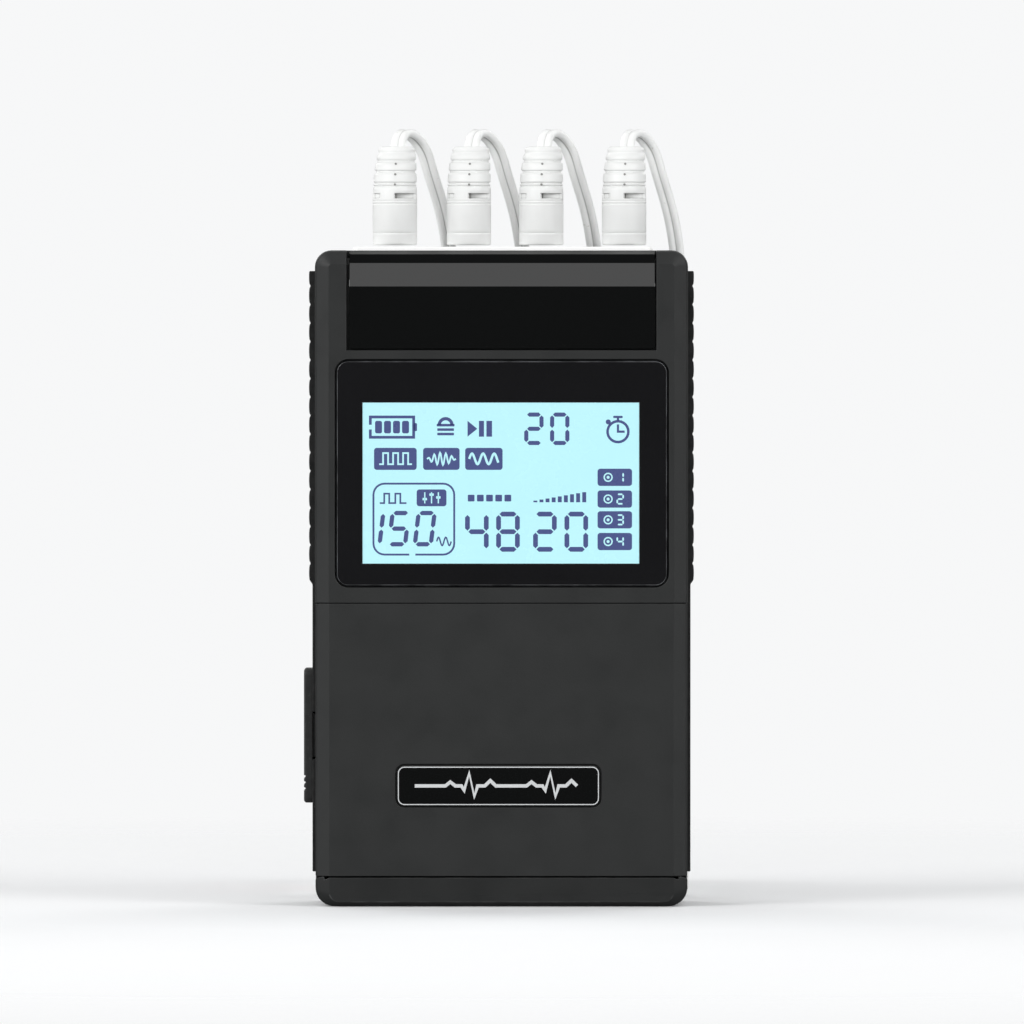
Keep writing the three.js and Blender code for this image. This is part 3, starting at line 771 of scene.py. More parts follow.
def splitter(channel):
    """The moulded block where the twin cord becomes two single leads."""
    hank = hank_place(channel)
    low, high = SPLIT_Y
    steps = 24
    slim, swollen, grooved = 0.0016, 0.0009, 0.92  # half width, what its middle adds, a groove's share
    line, widths = [], []
    for share in np.linspace(0, 1, steps + 1):
        y = low + (high - low) * share
        x, _, _ = on_hank(turn_at(y), 0.5, 0)
        line.append((hank.x + x, hank.y + y, SPLIT_HEIGHT))
        swell = ease(share, 0, 0.14) * (1 - 0.55 * ease(share, 0.88, 1))
        ribbed = grooved if 0.3 < share < 0.7 and round(share * steps) % 3 == 0 else 1
        widths.append((slim + swollen * swell) * ribbed)
    line = np.array(line)
    outline = rounded(-1, 1, -0.6, 0.6, 0.42, 5)
    obj = sweep(f"lead_splitter_{channel}", line, np.tile((1.0, 0, 0), (steps + 1, 1)), outline)
    for vertex in obj.data.vertices:
        ring = vertex.index // len(outline)
        centre = Vector(line[ring])
        vertex.co = centre + (vertex.co - centre) * widths[ring]
    return obj


def leg_line(channel, lane, offset, end):
    """One core's way from the splitter, once round the hank and back over it to its connector."""
    hank = hank_place(channel)
    # it starts inside the splitter and ends inside the connector's boot
    first, last = turn_at(SPLIT_Y[1] - 0.0015), turn_at(end - hank.y + 0.002)
    points = []
    for turn in np.linspace(first, 1 + last, 44):
        height = LEG_LOW + (LEG_OVER - LEG_LOW) * ease(turn, *LEG_RISE)
        x, y, _ = on_hank(turn, lane, 0)
        if turn > 1:
            nearer = ease(y, -HALF_RUN, end - hank.y - 0.0005)
            x += (offset - x) * nearer
            height += (LEG_END - LEG_OVER) * nearer
        points.append((hank.x + x, hank.y + y, height))
    return even(spline(points, RING / 4), RING)


# ---------------------------------------------------------------- moulded plugs and connectors


def moulding(name, rings, sides, relief):
    """A turned body: rings of (centre, across, back, radius, place), cut by relief(place, degrees)."""
    points = []
    for centre, across, back, radius, place in rings:
        for side in range(sides):
            degrees = 360 * side / sides
            angle = math.radians(degrees)
            reach = radius - relief(place, degrees)
            points.append(centre + across * math.cos(angle) * reach + back * math.sin(angle) * reach)
    obj = new_object(name, (points, ring_faces(sides, len(rings))))
    smooth(obj, 60)
    return obj


def window(value, centre, half, soft):
    """1 near the centre, and 0 further than half from it."""
    away = abs(value - centre)
    return 1 - ease(away, half - soft, half + soft)


def angle_from(degrees, other):
    """The angle between two directions, up to 180 degrees."""
    return abs((degrees - other + 180) % 360 - 180)


# The lines round a plug: height, half height and depth.
PLUG_LINES = [
    (121.3, 0.09, 0.05), (126.6, 0.1, 0.07), (127.1, 0.08, 0.04), (129.75, 0.16, 0.18),
    (130.3, 0.18, 0.24), (132.35, 0.25, 0.32), (134.3, 0.25, 0.32), (135.9, 0.3, 0.16),
]
PLUG_DOTS = (130.05, 131.9, 133.8)  # heights of the gate marks, grey discs of painted shade
# The slots in a plug's sides: first and last angle, and the depth at each.
PLUG_SLOTS = [(283, 350, 2.1, 0.3), (206, 238, 0.3, 0.25), (103, 170, 2.1, 0.3), (26, 58, 0.3, 0.25)]
SLOT_HEIGHT, SLOT_HALF = 128.0, 0.46


def plug_relief(place, degrees):
    depth = sum(deep * window(place, at, half, half * 0.5) for at, half, deep in PLUG_LINES)
    across = window(place, SLOT_HEIGHT, SLOT_HALF, 0.06)
    for first, last, deep, shallow in PLUG_SLOTS:
        inside = ease(degrees, first - 2, first + 1) * (1 - ease(degrees, last - 3, last + 3))
        share = min(1, max(0, (degrees - first) / (last - first)))
        depth += across * inside * (deep + (shallow - deep) * share)
    return depth


LEAN = Vector((0.2, 0.98, 0))  # the way in which the strain relief leans back
PLUG_TOP = 136  # height where its rounded shoulder starts


def plug_spine(base):
    """Rows of how far it leans, height and radius, up the plug's body."""
    return spline([
        (0, base, 4.02), (0, 124, 4.02), (0, 127, 4.02), (0.1, 129.6, 3.95), (0.4, 131.8, 3.85),
        (0.85, 133.6, 3.72), (1.4, 135.2, 3.55), (1.7, PLUG_TOP, 3.45),
    ], 0.02)


def on_plug(channel, height):
    """The middle and the radius of a plug's body at a height."""
    spine, plug = plug_spine(box(f"plug_{channel}")[0].z), plug_place(channel) / MM
    along, radius = (np.interp(height, spine[:, 1], spine[:, k]) for k in (0, 2))
    return Vector((plug.x, plug.y, height)) + LEAN * along, radius


def overmould(channel):
    """The plug's body and its strain relief, which leans back to where the cord leaves it."""
    base = box(f"plug_{channel}")[0].z
    heights = set(np.arange(base + 0.6, PLUG_TOP, 0.55))
    steps = (-1.6, -1, -0.75, -0.5, -0.25, 0, 0.25, 0.5, 0.75, 1, 1.6)
    heights.update(at + half * step for at, half, _ in PLUG_LINES for step in steps)
    for edge in (SLOT_HEIGHT - SLOT_HALF, SLOT_HEIGHT + SLOT_HALF):
        heights.update(edge + step for step in (-0.1, -0.05, 0, 0.05, 0.1))
    foot, shoulder = 0.32, 1.0
    profile = [
        (base + foot * (1 - math.cos(t)), foot * (math.sin(t) - 1))
        for t in np.linspace(0, math.pi / 2, 5)
    ]
    profile += [(height, 0) for height in sorted(heights) if height < PLUG_TOP]
    profile += [
        (PLUG_TOP + shoulder * math.sin(t), shoulder * (math.cos(t) - 1))
        for t in np.linspace(0, math.pi / 2, 8)
    ]
    across = Vector((LEAN.y, -LEAN.x, 0))
    rings = []
    for height, swell in profile:
        centre, radius = on_plug(channel, height)
        rings.append((centre, across, LEAN, radius + swell, height))
    rings.append((rings[-1][0], across, LEAN, 1.0, PLUG_TOP + shoulder))
    return moulding(f"plug_body_{channel}", rings, 120, plug_relief)


def gate_marks(channel):
    """Three small round marks down the front of the strain relief: flush grey discs of painted shade for
    the gate marks.
    """
    shapes = []
    for height in PLUG_DOTS:
        centre, radius = on_plug(channel, height)
        front = centre.y - radius
        shapes.append(rod("y", 0.21, front - 0.12, front + 0.4, centre.x, height, 16))
    return new_object(f"plug_marks_{channel}", together(shapes))


BOOT_LENGTH, BODY_LENGTH = 8.5, 24.5  # of a connector; the body's length has the boot's in it
BOOT_ROWS = [1.5, 2.9, 4.3, 5.7, 7.1]  # rows of slots in a connector's boot
BOOT_SLOT = 0.34  # their depth


def boot_relief(place, degrees):
    """The boot's slots, which turn a quarter from row to row, and the line round the body's end."""
    depth = 0
    for row, at in enumerate(BOOT_ROWS):
        for centre in (0, 180):
            across = window(angle_from(degrees, centre + 90 * (row % 2)), 0, 62, 5)
            depth += BOOT_SLOT * across * window(place, at, 0.38, 0.14)
    return depth + 0.1 * window(place, BOOT_LENGTH + 0.7, 0.2, 0.1)


def connector_parts(channel, color, material):
    """A pin connector lying along Y: ribbed boot, round body and bare pin."""
    low, high, x, z = facing(f"lead_tip_{color}_{channel}")
    outer, slim, shoulder = (high.x - low.x) / 2, 1.2, 0.5
    profile = [(0.85, 0.0), (1.15, 0.15)]
    profile += [
        (slim + (outer - slim) * ease(place, -3, BOOT_LENGTH) ** 0.9, place)
        for place in np.linspace(0.3, BOOT_LENGTH, 58)
    ]
    profile += [(outer, place) for place in (8.8, 9.0, 9.2, 9.4, 12, 18, 23.6)]
    profile += [
        (outer - shoulder * (1 - math.cos(t)), BODY_LENGTH - shoulder + shoulder * math.sin(t))
        for t in np.linspace(0.1, 1.57, 6)
    ]
    profile.append((0.9, BODY_LENGTH))
    rings = [
        (Vector((x, low.y + place, z)), Vector((1, 0, 0)), Vector((0, 0, 1)), radius, place)
        for radius, place in profile
    ]
    body = moulding(f"connector_{color}_{channel}", rings, 48, boot_relief)
    dress(body, material, "root", [f"lead_tip_{color}_{channel}"])
    tip = [(1.0, BODY_LENGTH - 1), (1.0, 33.6), (0.92, 34.2), (0.72, 34.7), (0.4, 34.95), (0, 35)]
    pin = new_object(f"connector_pin_{color}_{channel}", moved(lathe("y", tip, x, z, 28), y=low.y))
    smooth(pin)
    dress(pin, PIN, "root")
    return body, pin


def tie(channel):
    """A soft band round the waist of a hank and the boots of its two connectors."""
    hank = hank_place(channel) / MM
    boots, height = 2.95, 12.9  # where the connectors' boots lie
    outline = arc(1.5, 2.0, 1.8, 270, 345, 6) + arc(boots, height, 2.4, -22, 90, 9)
    outline += [(-u, v) for u, v in reversed(outline)]
    thick, half_wide = 0.4, 1.5
    band = ribbon(outline, thick, -half_wide, half_wide, closed=True)
    obj = new_object(f"lead_tie_{channel}", moved(band, hank.x, hank.y, 0))
    round_edges(obj, 0.12, 50)
    smooth(obj)
    return obj


def add_lead(channel):
    body = f"plug_{channel}"
    plug = dress(overmould(channel), OVERMOULD, body, [f"plug_{channel}"])
    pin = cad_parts[f"plug_pin_{channel}"]
    pin.data.materials.clear()
    pin.data.materials.append(PIN)
    dress(gate_marks(channel), GATE_MARK_SHADE, body)
    split = dress(splitter(channel), OVERMOULD, "root")
    band = dress(tie(channel), JACKET, "root")
    cord, line = twin_cord(channel)
    dress(cord, JACKET, None, [f"lead_{channel}", f"lead_hank_{channel}"])
    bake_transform(cord)
    tips = (("white", 0, OVERMOULD, "lead_jacket"), ("red", 1, RED, "red_jacket"))
    for color, lane, material, slot in tips:
        tip, tip_pin = connector_parts(channel, color, material)
        low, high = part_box(f"lead_tip_{color}_{channel}")
        offset = (low.x + high.x) / 2 - hank_place(channel).x
        way = leg_line(channel, lane, offset, low.y)
        up = np.tile((0, 0, 1.0), (len(way), 1))
        leg = sweep(f"lead_leg_{color}_{channel}", way, up, disc(0, 0, LEG / 2, 12))
        dress(leg, JACKET, "root")


for channel in CHANNELS:
    add_lead(channel)

# ---------------------------------------------------------------- casing

GAP = 0.3  # clearance between neighbouring pieces
EDGE = 2.5  # how far the facets along the casing's edges reach over its face
TOP_CORNER = 3  # radius of the casing's upper corners
WALL = 1.8
SEAM = GAP / 2  # half of the gap between the shells, which meet at y = 0
FAR = 40  # well past the casing, for cuts that go right through
shell_low, shell_high = box("front_shell")
HALF_WIDTH = shell_high.x
HEIGHT = shell_high.z
FACE = shell_low.y
BACK = 14
BEFORE, BEHIND = -20, 15  # clear of the face and of the back, for cuts that start or end outside
INNER_WIDTH = HALF_WIDTH - WALL
CEILING = 116.3  # the highest point inside
DECK, DECK_BACK = -10.6, -9.4  # the key deck's front and back
DECK_TOP = 56.5
door_low, door_high = box("flip_door")
DOOR_TOP = door_high.z + 0.12
HINGE_Y, HINGE_Z = -11, 8.6
CLIP_Y, CLIP_Z = 17, 95.5  # the belt clip's hinge
KEY_X = [middle(f"key_{name}").x for name in ("power", "mode", "timer", "pause")]
KEY_Z = middle("key_power").z
ROCKER_Z = middle("rocker_ch1").z
SCREWS = [(middle(f"case_screw_{n}").x, middle(f"case_screw_{n}").z) for n in CHANNELS]
PLUG_PLACES = [plug_place(channel) / MM for channel in CHANNELS]

# The casing's edges: a slanting facet, then a small radius. Each point is (inset, depth).
EDGE_PROFILE = [(EDGE, 0), (0.4, 1.15), (0.2, 1.38), (0.06, 1.66), (0, 2.0)]


def hull(face, seam):
    """Half of the casing: a face with slanting side and top edges, as far as the seam."""
    way = 1 if seam > face else -1
    layers = [
        (face + way * depth, rounded(
            inset - HALF_WIDTH, HALF_WIDTH - inset, shell_low.z, HEIGHT - inset,
            (0, 0, TOP_CORNER - inset, TOP_CORNER - inset),
        ))
        for inset, depth in EDGE_PROFILE
    ]
    layers.append((seam, layers[-1][1]))
    return loft("y", layers)


lens_low, lens_high = box("lcd_lens")
lcd_low, lcd_high = box("lcd_module")
panel_low, panel_high = box("top_panel")
bar_low, bar_high = box("socket_bar")
grip_low, grip_high = box("side_grip_right")
PORT_Y, PORT_Z = -2.5, (26, 35)  # the charge port's middle, and its ends


def roomy(low, high, front, back):
    """A hole for a node's front view, with clearance round it."""
    return block(low.x - GAP, high.x + GAP, front, back, low.z - GAP, high.z + GAP)


def grip_grooves():
    reach, top = grip_high.y + GAP, grip_high.z + GAP
    return two_blocks(grip_low.x - GAP, FAR, -reach, reach, 0, top)


def bar_opening():
    return block(
        bar_low.x - GAP, bar_high.x + GAP, bar_low.y - GAP, bar_high.y + GAP, bar_low.z - 1, HEIGHT + 2,
    )


# The rooms inside the front shell: half width, front, lowest and highest point.
FRONT_ROOMS = [
    (30.2, DECK_BACK, 0, DECK_TOP),  # behind the keys
    (INNER_WIDTH, -3, 0, DECK_TOP),  # behind the door's flanges
    (INNER_WIDTH, DECK, 56.3, 99.5),  # behind the screen
    (INNER_WIDTH, -9.8, 99.4, 114.6),  # behind the top panel
    (INNER_WIDTH, -4.2, 99.4, CEILING),  # under the socket bar
]
# The top panel's pocket, in section: y and z.
PANEL_POCKET = [
    (-15, 100.1), (-11.9, 100.1), (-11.9, 111), (-10.35, 115.5),
    (-9.2, 116.6), (-4.5, 116.6), (-4.5, 119), (-15, 119),
]
DECK_HOLE = (-12, -8)  # from before the deck to behind it


def rocker_outline(x, half_width, half_height, radius, steps):
    """An upright oblong round a rocker's middle."""
    return rounded(
        x - half_width, x + half_width, ROCKER_Z - half_height, ROCKER_Z + half_height, radius, steps,
    )


def front_shell():
    cavity = [block(-half, half, front, 1, low, high) for half, front, low, high in FRONT_ROOMS]
    # the door's place: its panel, the way of its lower edge as it turns, and its flanges
    recess = [
        block(-FAR, FAR, BEFORE, DECK, 0, DOOR_TOP), block(-FAR, FAR, BEFORE, -7.7, 0, 7.5),
        *two_blocks(INNER_WIDTH, FAR, BEFORE, door_high.y + 0.4, 0, DOOR_TOP),
    ]
    lugs = two_rods(1.8, 30.3, INNER_WIDTH + 0.1, HINGE_Y, HINGE_Z)
    bores = two_rods(1, 29, 33, HINGE_Y, HINGE_Z)
    port = (PORT_Y - 1.9, PORT_Y + 1.9, PORT_Z[0] - GAP, PORT_Z[1] + GAP)
    openings = [
        prism("y", inset_box(lens_low, lens_high, "y", -0.2, 2.5), -15, lens_high.y + GAP),
        roomy(lcd_low, lcd_high, -13, -10),
        prism("x", PANEL_POCKET, panel_low.x - 0.5, panel_high.x + 0.25),
        *[rod("y", 4.9, *DECK_HOLE, x, KEY_Z, 48) for x in KEY_X],
        *[prism("y", rocker_outline(x, 5.4, 11.4, 5.4, 10), *DECK_HOLE) for x in KEY_X],
        *grip_grooves(), bar_opening(), block(-35, -29, *port),
    ]
    obj = new_object("front_casing", hull(FACE, -SEAM))
    cut(obj, cavity)
    cut(obj, recess)
    join(obj, lugs)
    cut(obj, bores + openings)
    return obj


bevelled(front_shell(), 0.1, CASING, ["front_shell"])


def rear_shell():
    cover_low, cover_high = box("battery_cover")
    obj = new_object("rear_casing", hull(BACK, SEAM))
    cut(obj, [block(-INNER_WIDTH, INNER_WIDTH, -1, BACK - WALL, 0, CEILING)])
    ear = rounded(13, 19.6, 92, 99, (0, 3, 3, 0))  # for the belt clip's pins
    ears = [prism("x", ear, *sorted((side * 11.4, side * 13.4))) for side in SIDES]
    ledge = block(-25.6, 25.6, 10.6, 12.3, 8.2, 63.8)  # which the battery cover rests on
    join(obj, [ledge, *ears])
    bores = two_rods(1.5, 11, 12.8, CLIP_Y, CLIP_Z)
    grille = [
        prism("y", rounded(x - 0.5, x + 0.5, 104.5, 111.5, 0.49, 5), 11, 16) for x in range(-14, 15, 4)
    ]
    cut(obj, [
        roomy(cover_low, cover_high, BACK - WALL, BEHIND), block(-22.6, 22.6, 10, 13, 11.5, 60.5),
        *[rod("y", 2.7, 12.6, BEHIND, x, z) for x, z in SCREWS],
        *bores, *grip_grooves(), bar_opening(), *grille,
    ])
    return obj


bevelled(rear_shell(), 0.12, CASING, ["rear_shell"])


def bottom_cap():
    low, high = box("bottom_cap")
    corner = 3.3
    half = [
        (depth, rounded(
            low.x + inset, high.x - inset, low.z + 0.3 * inset, high.z,
            (corner - 0.6 * inset, corner - 0.6 * inset, 0, 0), 10,
        ))
        for inset, depth in EDGE_PROFILE
    ]
    layers = [(low.y + depth, outline) for depth, outline in half]
    layers += [(high.y - depth, outline) for depth, outline in reversed(half)]
    obj = new_object("base_cap", loft("y", layers))
    # hollow from above, with room for the door's lower edge to turn in
    cut(obj, [
        block(-INNER_WIDTH, INNER_WIDTH, -12.2, 12.2, 1.8, 6),
        rod("x", 4.55, -31.9, 31.9, HINGE_Y, HINGE_Z, 80),
        *two_rods(3.95, 31.8, FAR, HINGE_Y, HINGE_Z),
    ])
    return obj


bevelled(bottom_cap(), 0.1, CAP, ["bottom_cap"])


def flip_door():
    """A tray in plan: the front panel and two side flanges, on stub pins at its lower corners."""
    flange, panel = 1.4, 1.6  # thickness
    half, inner, bottom = door_high.x, door_high.x - flange, door_low.z - 0.18
    layers = [
        (door_low.y + depth, rounded(inset - half, half - inset, bottom, door_high.z, 0))
        for inset, depth in EDGE_PROFILE
    ]
    layers.append((door_high.y, layers[-1][1]))
    obj = new_object("front_door", loft("y", layers))
    cut(obj, [block(-inner, inner, door_low.y + panel, 0, 0, 60)])
    join(obj, two_rods(0.7, 30.6, inner + 0.5, HINGE_Y, HINGE_Z))
    # sloping upper edge, clipped lower corners, room for the shell's lugs, and the badge's pocket
    cut(obj, [
        prism("x", [(-14.1, 54.55), (-4.9, 54.1), (-4.9, 56), (-14.1, 56)], -FAR, FAR),
        prism("x", [(-4.9, 5), (-4.9, 7.35), (-5.05, 7.3), (-5.7, 5.6), (-5.75, 5)], -FAR, FAR),
        *two_blocks(30, inner, -13.1, -12, 5, 12),
        prism("y", rounded(-19.1, 18, 17.8, 25.6, 1.6), -15, -13.35),
    ])
    return obj


bevelled(flip_door(), 0.1, CASING, ["flip_door"], "door")

HEARTBEAT = [  # one beat of the badge's trace
    (0, 0), (5.5, 0), (6.4, 0.7), (7.3, 0), (8.4, 0), (8.9, -0.8), (9.8, 2.3), (10.7, -1.9),
    (11.3, 0), (12.6, 0), (13.6, 0.95), (14.6, 0),
]


def badge():
    """A name plate with a pulse trace in place of a name."""
    low, high = box("badge")
    outline = inset_box(low, high, "y", 0, 1.3)
    layers = [(high.y, outline), (low.y + 0.12, outline), (low.y, inset_box(low, high, "y", 0.35, 1.0))]
    plate = new_object("badge_plate", loft("y", layers))
    smooth(plate, 20)
    dress(plate, GLOSS, "door", ["badge"])
    start, beat, centre = low.x + 3.2, HEARTBEAT[-1][0], (low.z + high.z) / 2
    trace = [(start + u, centre + v) for u, v in HEARTBEAT]
    trace += [(start + beat + u, centre + v) for u, v in HEARTBEAT[1:]]
    marks = together([
        ribbon(inset_box(low, high, "y", 0.24, 1.1), 0.17, low.y - 0.03, low.y + 0.15, closed=True),
        ribbon(trace, 0.6, low.y - 0.05, low.y + 0.1),
    ])
    dress(new_object("badge_trace", marks), SILVER, "door")


badge()

# The top panel in section: y and z.
PANEL = [
    (-13.9, 100.4), (-12.2, 100.4), (-12.2, 111), (-10.6, 115.4), (-9.4, 116.9), (-4.8, 116.9),
    (-4.8, 118), (-9.6, 118), (-11.2, 117.4), (-12.6, 115.8), (-13.9, 111.6),
]


def top_panel():
    obj = new_object("crown_panel", prism("x", PANEL, panel_low.x, panel_high.x))
    above = panel_high.z + 2
    outline = rounded(panel_low.x, panel_high.x, panel_low.z, above, (0.7, 0.7, 0, 0), 6)
    combine(obj, "INTERSECT", [prism("y", outline, BEFORE, 0)])
    return obj


crown = bevelled(top_panel(), 0.08, GLOSS, ["top_panel"], crisp=10)
# its level top is a lighter grey satin: a painted highlight along the top, and satin so that the plugs
# don't mirror in it
crown.data.materials.append(LIP_HIGHLIGHT)
LEVEL, ABOVE = 0.85, 0.11  # least upward share of a level face's normal, and least height in metres
for face in crown.data.polygons:
    if face.normal.z > LEVEL and face.center.z > ABOVE:
        face.material_index = 2


def socket_bar():
    outline = inset_box(bar_low, bar_high, "z", 0, 1)
    top = rounded(bar_low.x + 0.25, bar_high.x - 0.25, bar_low.y + 0.15, bar_high.y - 0.15, 0.85)
    layers = [(bar_low.z, outline), (bar_high.z - 0.3, outline), (bar_high.z, top)]
    obj = new_object("socket_strip", loft("z", layers))
    cut(obj, [rod("z", 1.6, 115, 120, place.x, place.y) for place in PLUG_PLACES])
    return obj


bevelled(socket_bar(), 0.12, WHITE, ["socket_bar"])


def grip(side):
    """A rubber strip with rounded ribs over its upper part and a plain lower tail."""
    ribs, pitch, start = 17, 3.34, 58.25  # how many, how far apart, and where the lowest one starts
    tail, valley, crest = 34.15, 34.46, 34.76  # how far from the middle each lies
    steps = 9
    inner = grip_low.x
    outline = [(inner, grip_low.z), (tail, grip_low.z), (tail, start - 0.4)]
    for rib in range(ribs):
        for step in range(steps):
            share = step / steps
            height = start + (rib + share) * pitch
            if height < grip_high.z - 0.2:
                swell = math.sin(math.pi * share) ** 0.3
                outline.append((valley + (crest - valley) * swell, height))
    outline += [(crest - 0.05, grip_high.z), (inner, grip_high.z)]
    corners = [(side * u, v) for u, v in outline]
    name = "grip_left" if side < 0 else "grip_right"
    obj = new_object(name, prism("y", corners, grip_low.y, grip_high.y))
    if side < 0:
        cut(obj, [block(-FAR, -30, -6, 1, 26.2, 34.8)])  # for the port
    return obj


bevelled(grip(-1), 0.18, RUBBER, ["side_grip_left"])
bevelled(grip(1), 0.18, RUBBER, ["side_grip_right"])


def battery_cover():
    low, high = box("battery_cover")
    edge = 0.3
    outline, drawn = inset_box(low, high, "y", 0, 1), inset_box(low, high, "y", edge, 0.8)
    layers = [(low.y, outline), (high.y - edge, outline), (high.y, drawn)]
    obj = new_object("battery_door", loft("y", layers))
    rows = [row * 2.4 for row in range(4)]
    grooves = [prism("y", rounded(-9, 9, 50 + row, 51 + row, 0.45, 5), 13.3, BEHIND) for row in rows]
    arrow = prism("y", [(-2.2, 47), (2.2, 47), (0, 43.8)], 13.55, BEHIND)
    cut(obj, [*grooves, arrow])
    return obj


bevelled(battery_cover(), 0.15, CASING, ["battery_cover"])


def belt_clip():
    """A strap in section, y and z, with cut corners at its tip and grooves under the thumb."""
    section = [
        (15, 93.5), (19.4, 91.5), (19.4, 71), (18.8, 69), (20.6, 64), (21.8, 64.4),
        (21.4, 68), (21.4, 97.5), (20.4, 99), (15.6, 99), (15, 98),
    ]
    obj = new_object("spring_clip", prism("x", section, -11, 11))
    corners = [[(side * 11.5, 63), (side * 8, 63), (side * 11.5, 66.5)] for side in SIDES]
    tips = [prism("y", corner, 14, 23) for corner in corners]
    join(obj, two_rods(1.2, 10.5, 12.5, CLIP_Y, CLIP_Z))
    grooves = [prism("y", rounded(-7, 7, z, z + 1, 0.45, 5), 21.0, 22) for z in (84, 86.4, 88.8, 91.2)]
    cut(obj, [*tips, *grooves])
    return obj


bevelled(belt_clip(), 0.3, CLIP, ["belt_clip"], "belt_clip")


def port_cover():
    low, high = box("port_cover")
    outer, inner, edge = low.x, -34.12, 0.3
    full, drawn = inset_box(low, high, "x", 0, 1.2), inset_box(low, high, "x", edge, 1.0)
    obj = new_object("port_flap", loft("x", [(outer, drawn), (outer + edge, full), (inner, full)]))
    plug_in = block(inner - 0.2, high.x, -3.7, -1.3, 26.6, 34.4)
    join(obj, [plug_in])
    finger_lines = (20.6, 21.7, 22.8)
    cut(obj, [
        block(outer - 1, outer + edge, low.y - 1, high.y + 1, z, z + 0.45) for z in finger_lines
    ])
    return obj


bevelled(port_cover(), 0.15, FLAP_RUBBER, ["port_cover"], "port_cover")


def screw(number):
    node = f"case_screw_{number}"
    low, high, x, z = facing(node)
    head = high.y - 1
    profile = [(1, low.y), (1, head), (2.25, head), (2.4, head + 0.15), (2.35, head + 0.6)]
    profile += [(1.9, head + 0.95), (0, high.y)]
    obj = new_object(f"screw_{number}", lathe("y", profile, x, z, 36))
    cross = ((1.45, 0.3), (0.3, 1.45))
    slots = [block(x - a, x + a, head + 0.45, high.y + 1, z - b, z + b) for a, b in cross]
    cut(obj, slots)
    bevelled(obj, 0.06, STEEL, [node])


for number in CHANNELS:
    screw(number)

# ---------------------------------------------------------------- display

LIT_X, LIT_Z = (-25.0, 24.8), (61.7, 90.7)  # the lit area's edges


def lens():
    edge = 0.25
    outline = inset_box(lens_low, lens_high, "y", 0, 2.2, 10)
    drawn = inset_box(lens_low, lens_high, "y", edge, 1.95, 10)
    layers = [(lens_high.y, outline), (lens_low.y + edge, outline), (lens_low.y, drawn)]
    obj = new_object("display_frame", loft("y", layers))
    cut(obj, [block(*LIT_X, -15, -12, *LIT_Z)])
    return obj


bevelled(lens(), 0.06, FRAME, ["lcd_lens"])

GLASS = lens_low.y + 0.12  # front of the lit panel, just behind the lens's face
LAYER_STEP = 0.03  # how far each layer of marks stands before the one below
BREAK = 0.2  # gap at each end of a digit's segment, as a share of its stroke


def glass():
    inset = 0.02
    (x0, x1), (z0, z1) = LIT_X, LIT_Z
    panel = block(x0 + inset, x1 - inset, GLASS, lens_high.y, z0 + inset, z1 - inset)
    dress(new_object("display_panel", panel), LIT, "root")


glass()


class Screen:
    """Collects flat marks in millimetres from the lit area's lower left corner."""

    def __init__(self, level):
        self.low = GLASS - LAYER_STEP * level
        self.high = GLASS + 0.02
        self.shapes = []

    def at(self, u, v):
        return LIT_X[0] + u, LIT_Z[0] + v

    def fill(self, outline):
        self.shapes.append(prism("y", [self.at(u, v) for u, v in outline], self.low, self.high))

    def line(self, points, width, closed=False):
        self.shapes.append(ribbon([self.at(u, v) for u, v in points], width, self.low, self.high, closed))

    def bar(self, u0, u1, v0, v1, radius=0.0):
        self.fill(rounded(u0, u1, v0, v1, radius, 5))

    def digit(self, value, u, v, width, height, stroke, slant=0.0):
        """A seven-segment digit whose lower left corner is at u, v."""
        half = stroke / 2
        left, right, low, high = half, width - half, half, height - half
        waist = height / 2
        ends = {
            "top": ((left, high), (right, high)), "middle": ((left, waist), (right, waist)),
            "bottom": ((left, low), (right, low)), "upper left": ((left, waist), (left, high)),
            "upper right": ((right, waist), (right, high)), "lower left": ((left, low), (left, waist)),
            "lower right": ((right, low), (right, waist)),
        }
        for name in DIGITS[value]:
            a, b = (Vector(end) for end in ends[name])
            along = (b - a).normalized()
            across = Vector((-along.y, along.x)) * half
            a, b = a + along * stroke * BREAK, b - along * stroke * BREAK
            corner = along * half
            outline = [a, a + corner - across, b - corner - across]
            outline += [b, b - corner + across, a + corner + across]
            self.fill([(u + p.x + slant * p.y, v + p.y) for p in outline])

    def make(self, name, material):
        dress(new_object(name, together(self.shapes)), material, "root")


UPRIGHTS = ["upper left", "upper right", "lower left", "lower right"]
DIGITS = {
    "0": ["top", "bottom", *UPRIGHTS],
    "1": ["upper right", "lower right"],
    "2": ["top", "upper right", "middle", "lower left", "bottom"],
    "3": ["top", "upper right", "middle", "lower right", "bottom"],
    "4": ["upper left", "upper right", "middle", "lower right"],
    "5": ["top", "upper left", "middle", "lower right", "bottom"],
    "8": ["top", "middle", "bottom", *UPRIGHTS],
}

ink, light = Screen(1), Screen(2)


def square_wave(stops, low, high):
    """A line that steps up and down at each stop between the first and the last."""
    points = [(stops[0], low)]
    for i, u in enumerate(stops[1:-1]):
        points += [(u, (low, high)[i % 2]), (u, (high, low)[i % 2])]
    return points + [(stops[-1], low)]


def sine_wave(u, v, stride, height, rate, count, swell=None):
    """Count points, stride apart. The wave may swell and fade, at a rate of its own."""
    return [
        (u + step * stride, v + height * math.sin(step * rate) * (math.sin(step * swell) if swell else 1))
        for step in range(count)
    ]


def battery_mark(u, v):
    right, top = u + 7.8, v + 3.65
    ink.line([(u, v + 1.4), (u, v), (right, v), (right, top), (u, top), (u, v + 2.25)], 0.5)
    ink.bar(right, u + 8.4, v + 1.1, v + 2.55, 0.2)
    for cell in range(4):
        start = u + 0.85 + cell * 1.62
        ink.bar(start, start + 1.25, v + 0.7, v + 2.95, 0.35)


def lock_mark(u, v):
    ink.line(arc(u + 1.55, v + 1.95, 1.15, 0, 180), 0.58)
    for row, half in ((1.7, 1.6), (0.9, 1.5), (0.1, 1.5)):
        ink.bar(u + 1.55 - half, u + 1.55 + half, v + row, v + row + 0.46, 0.1)


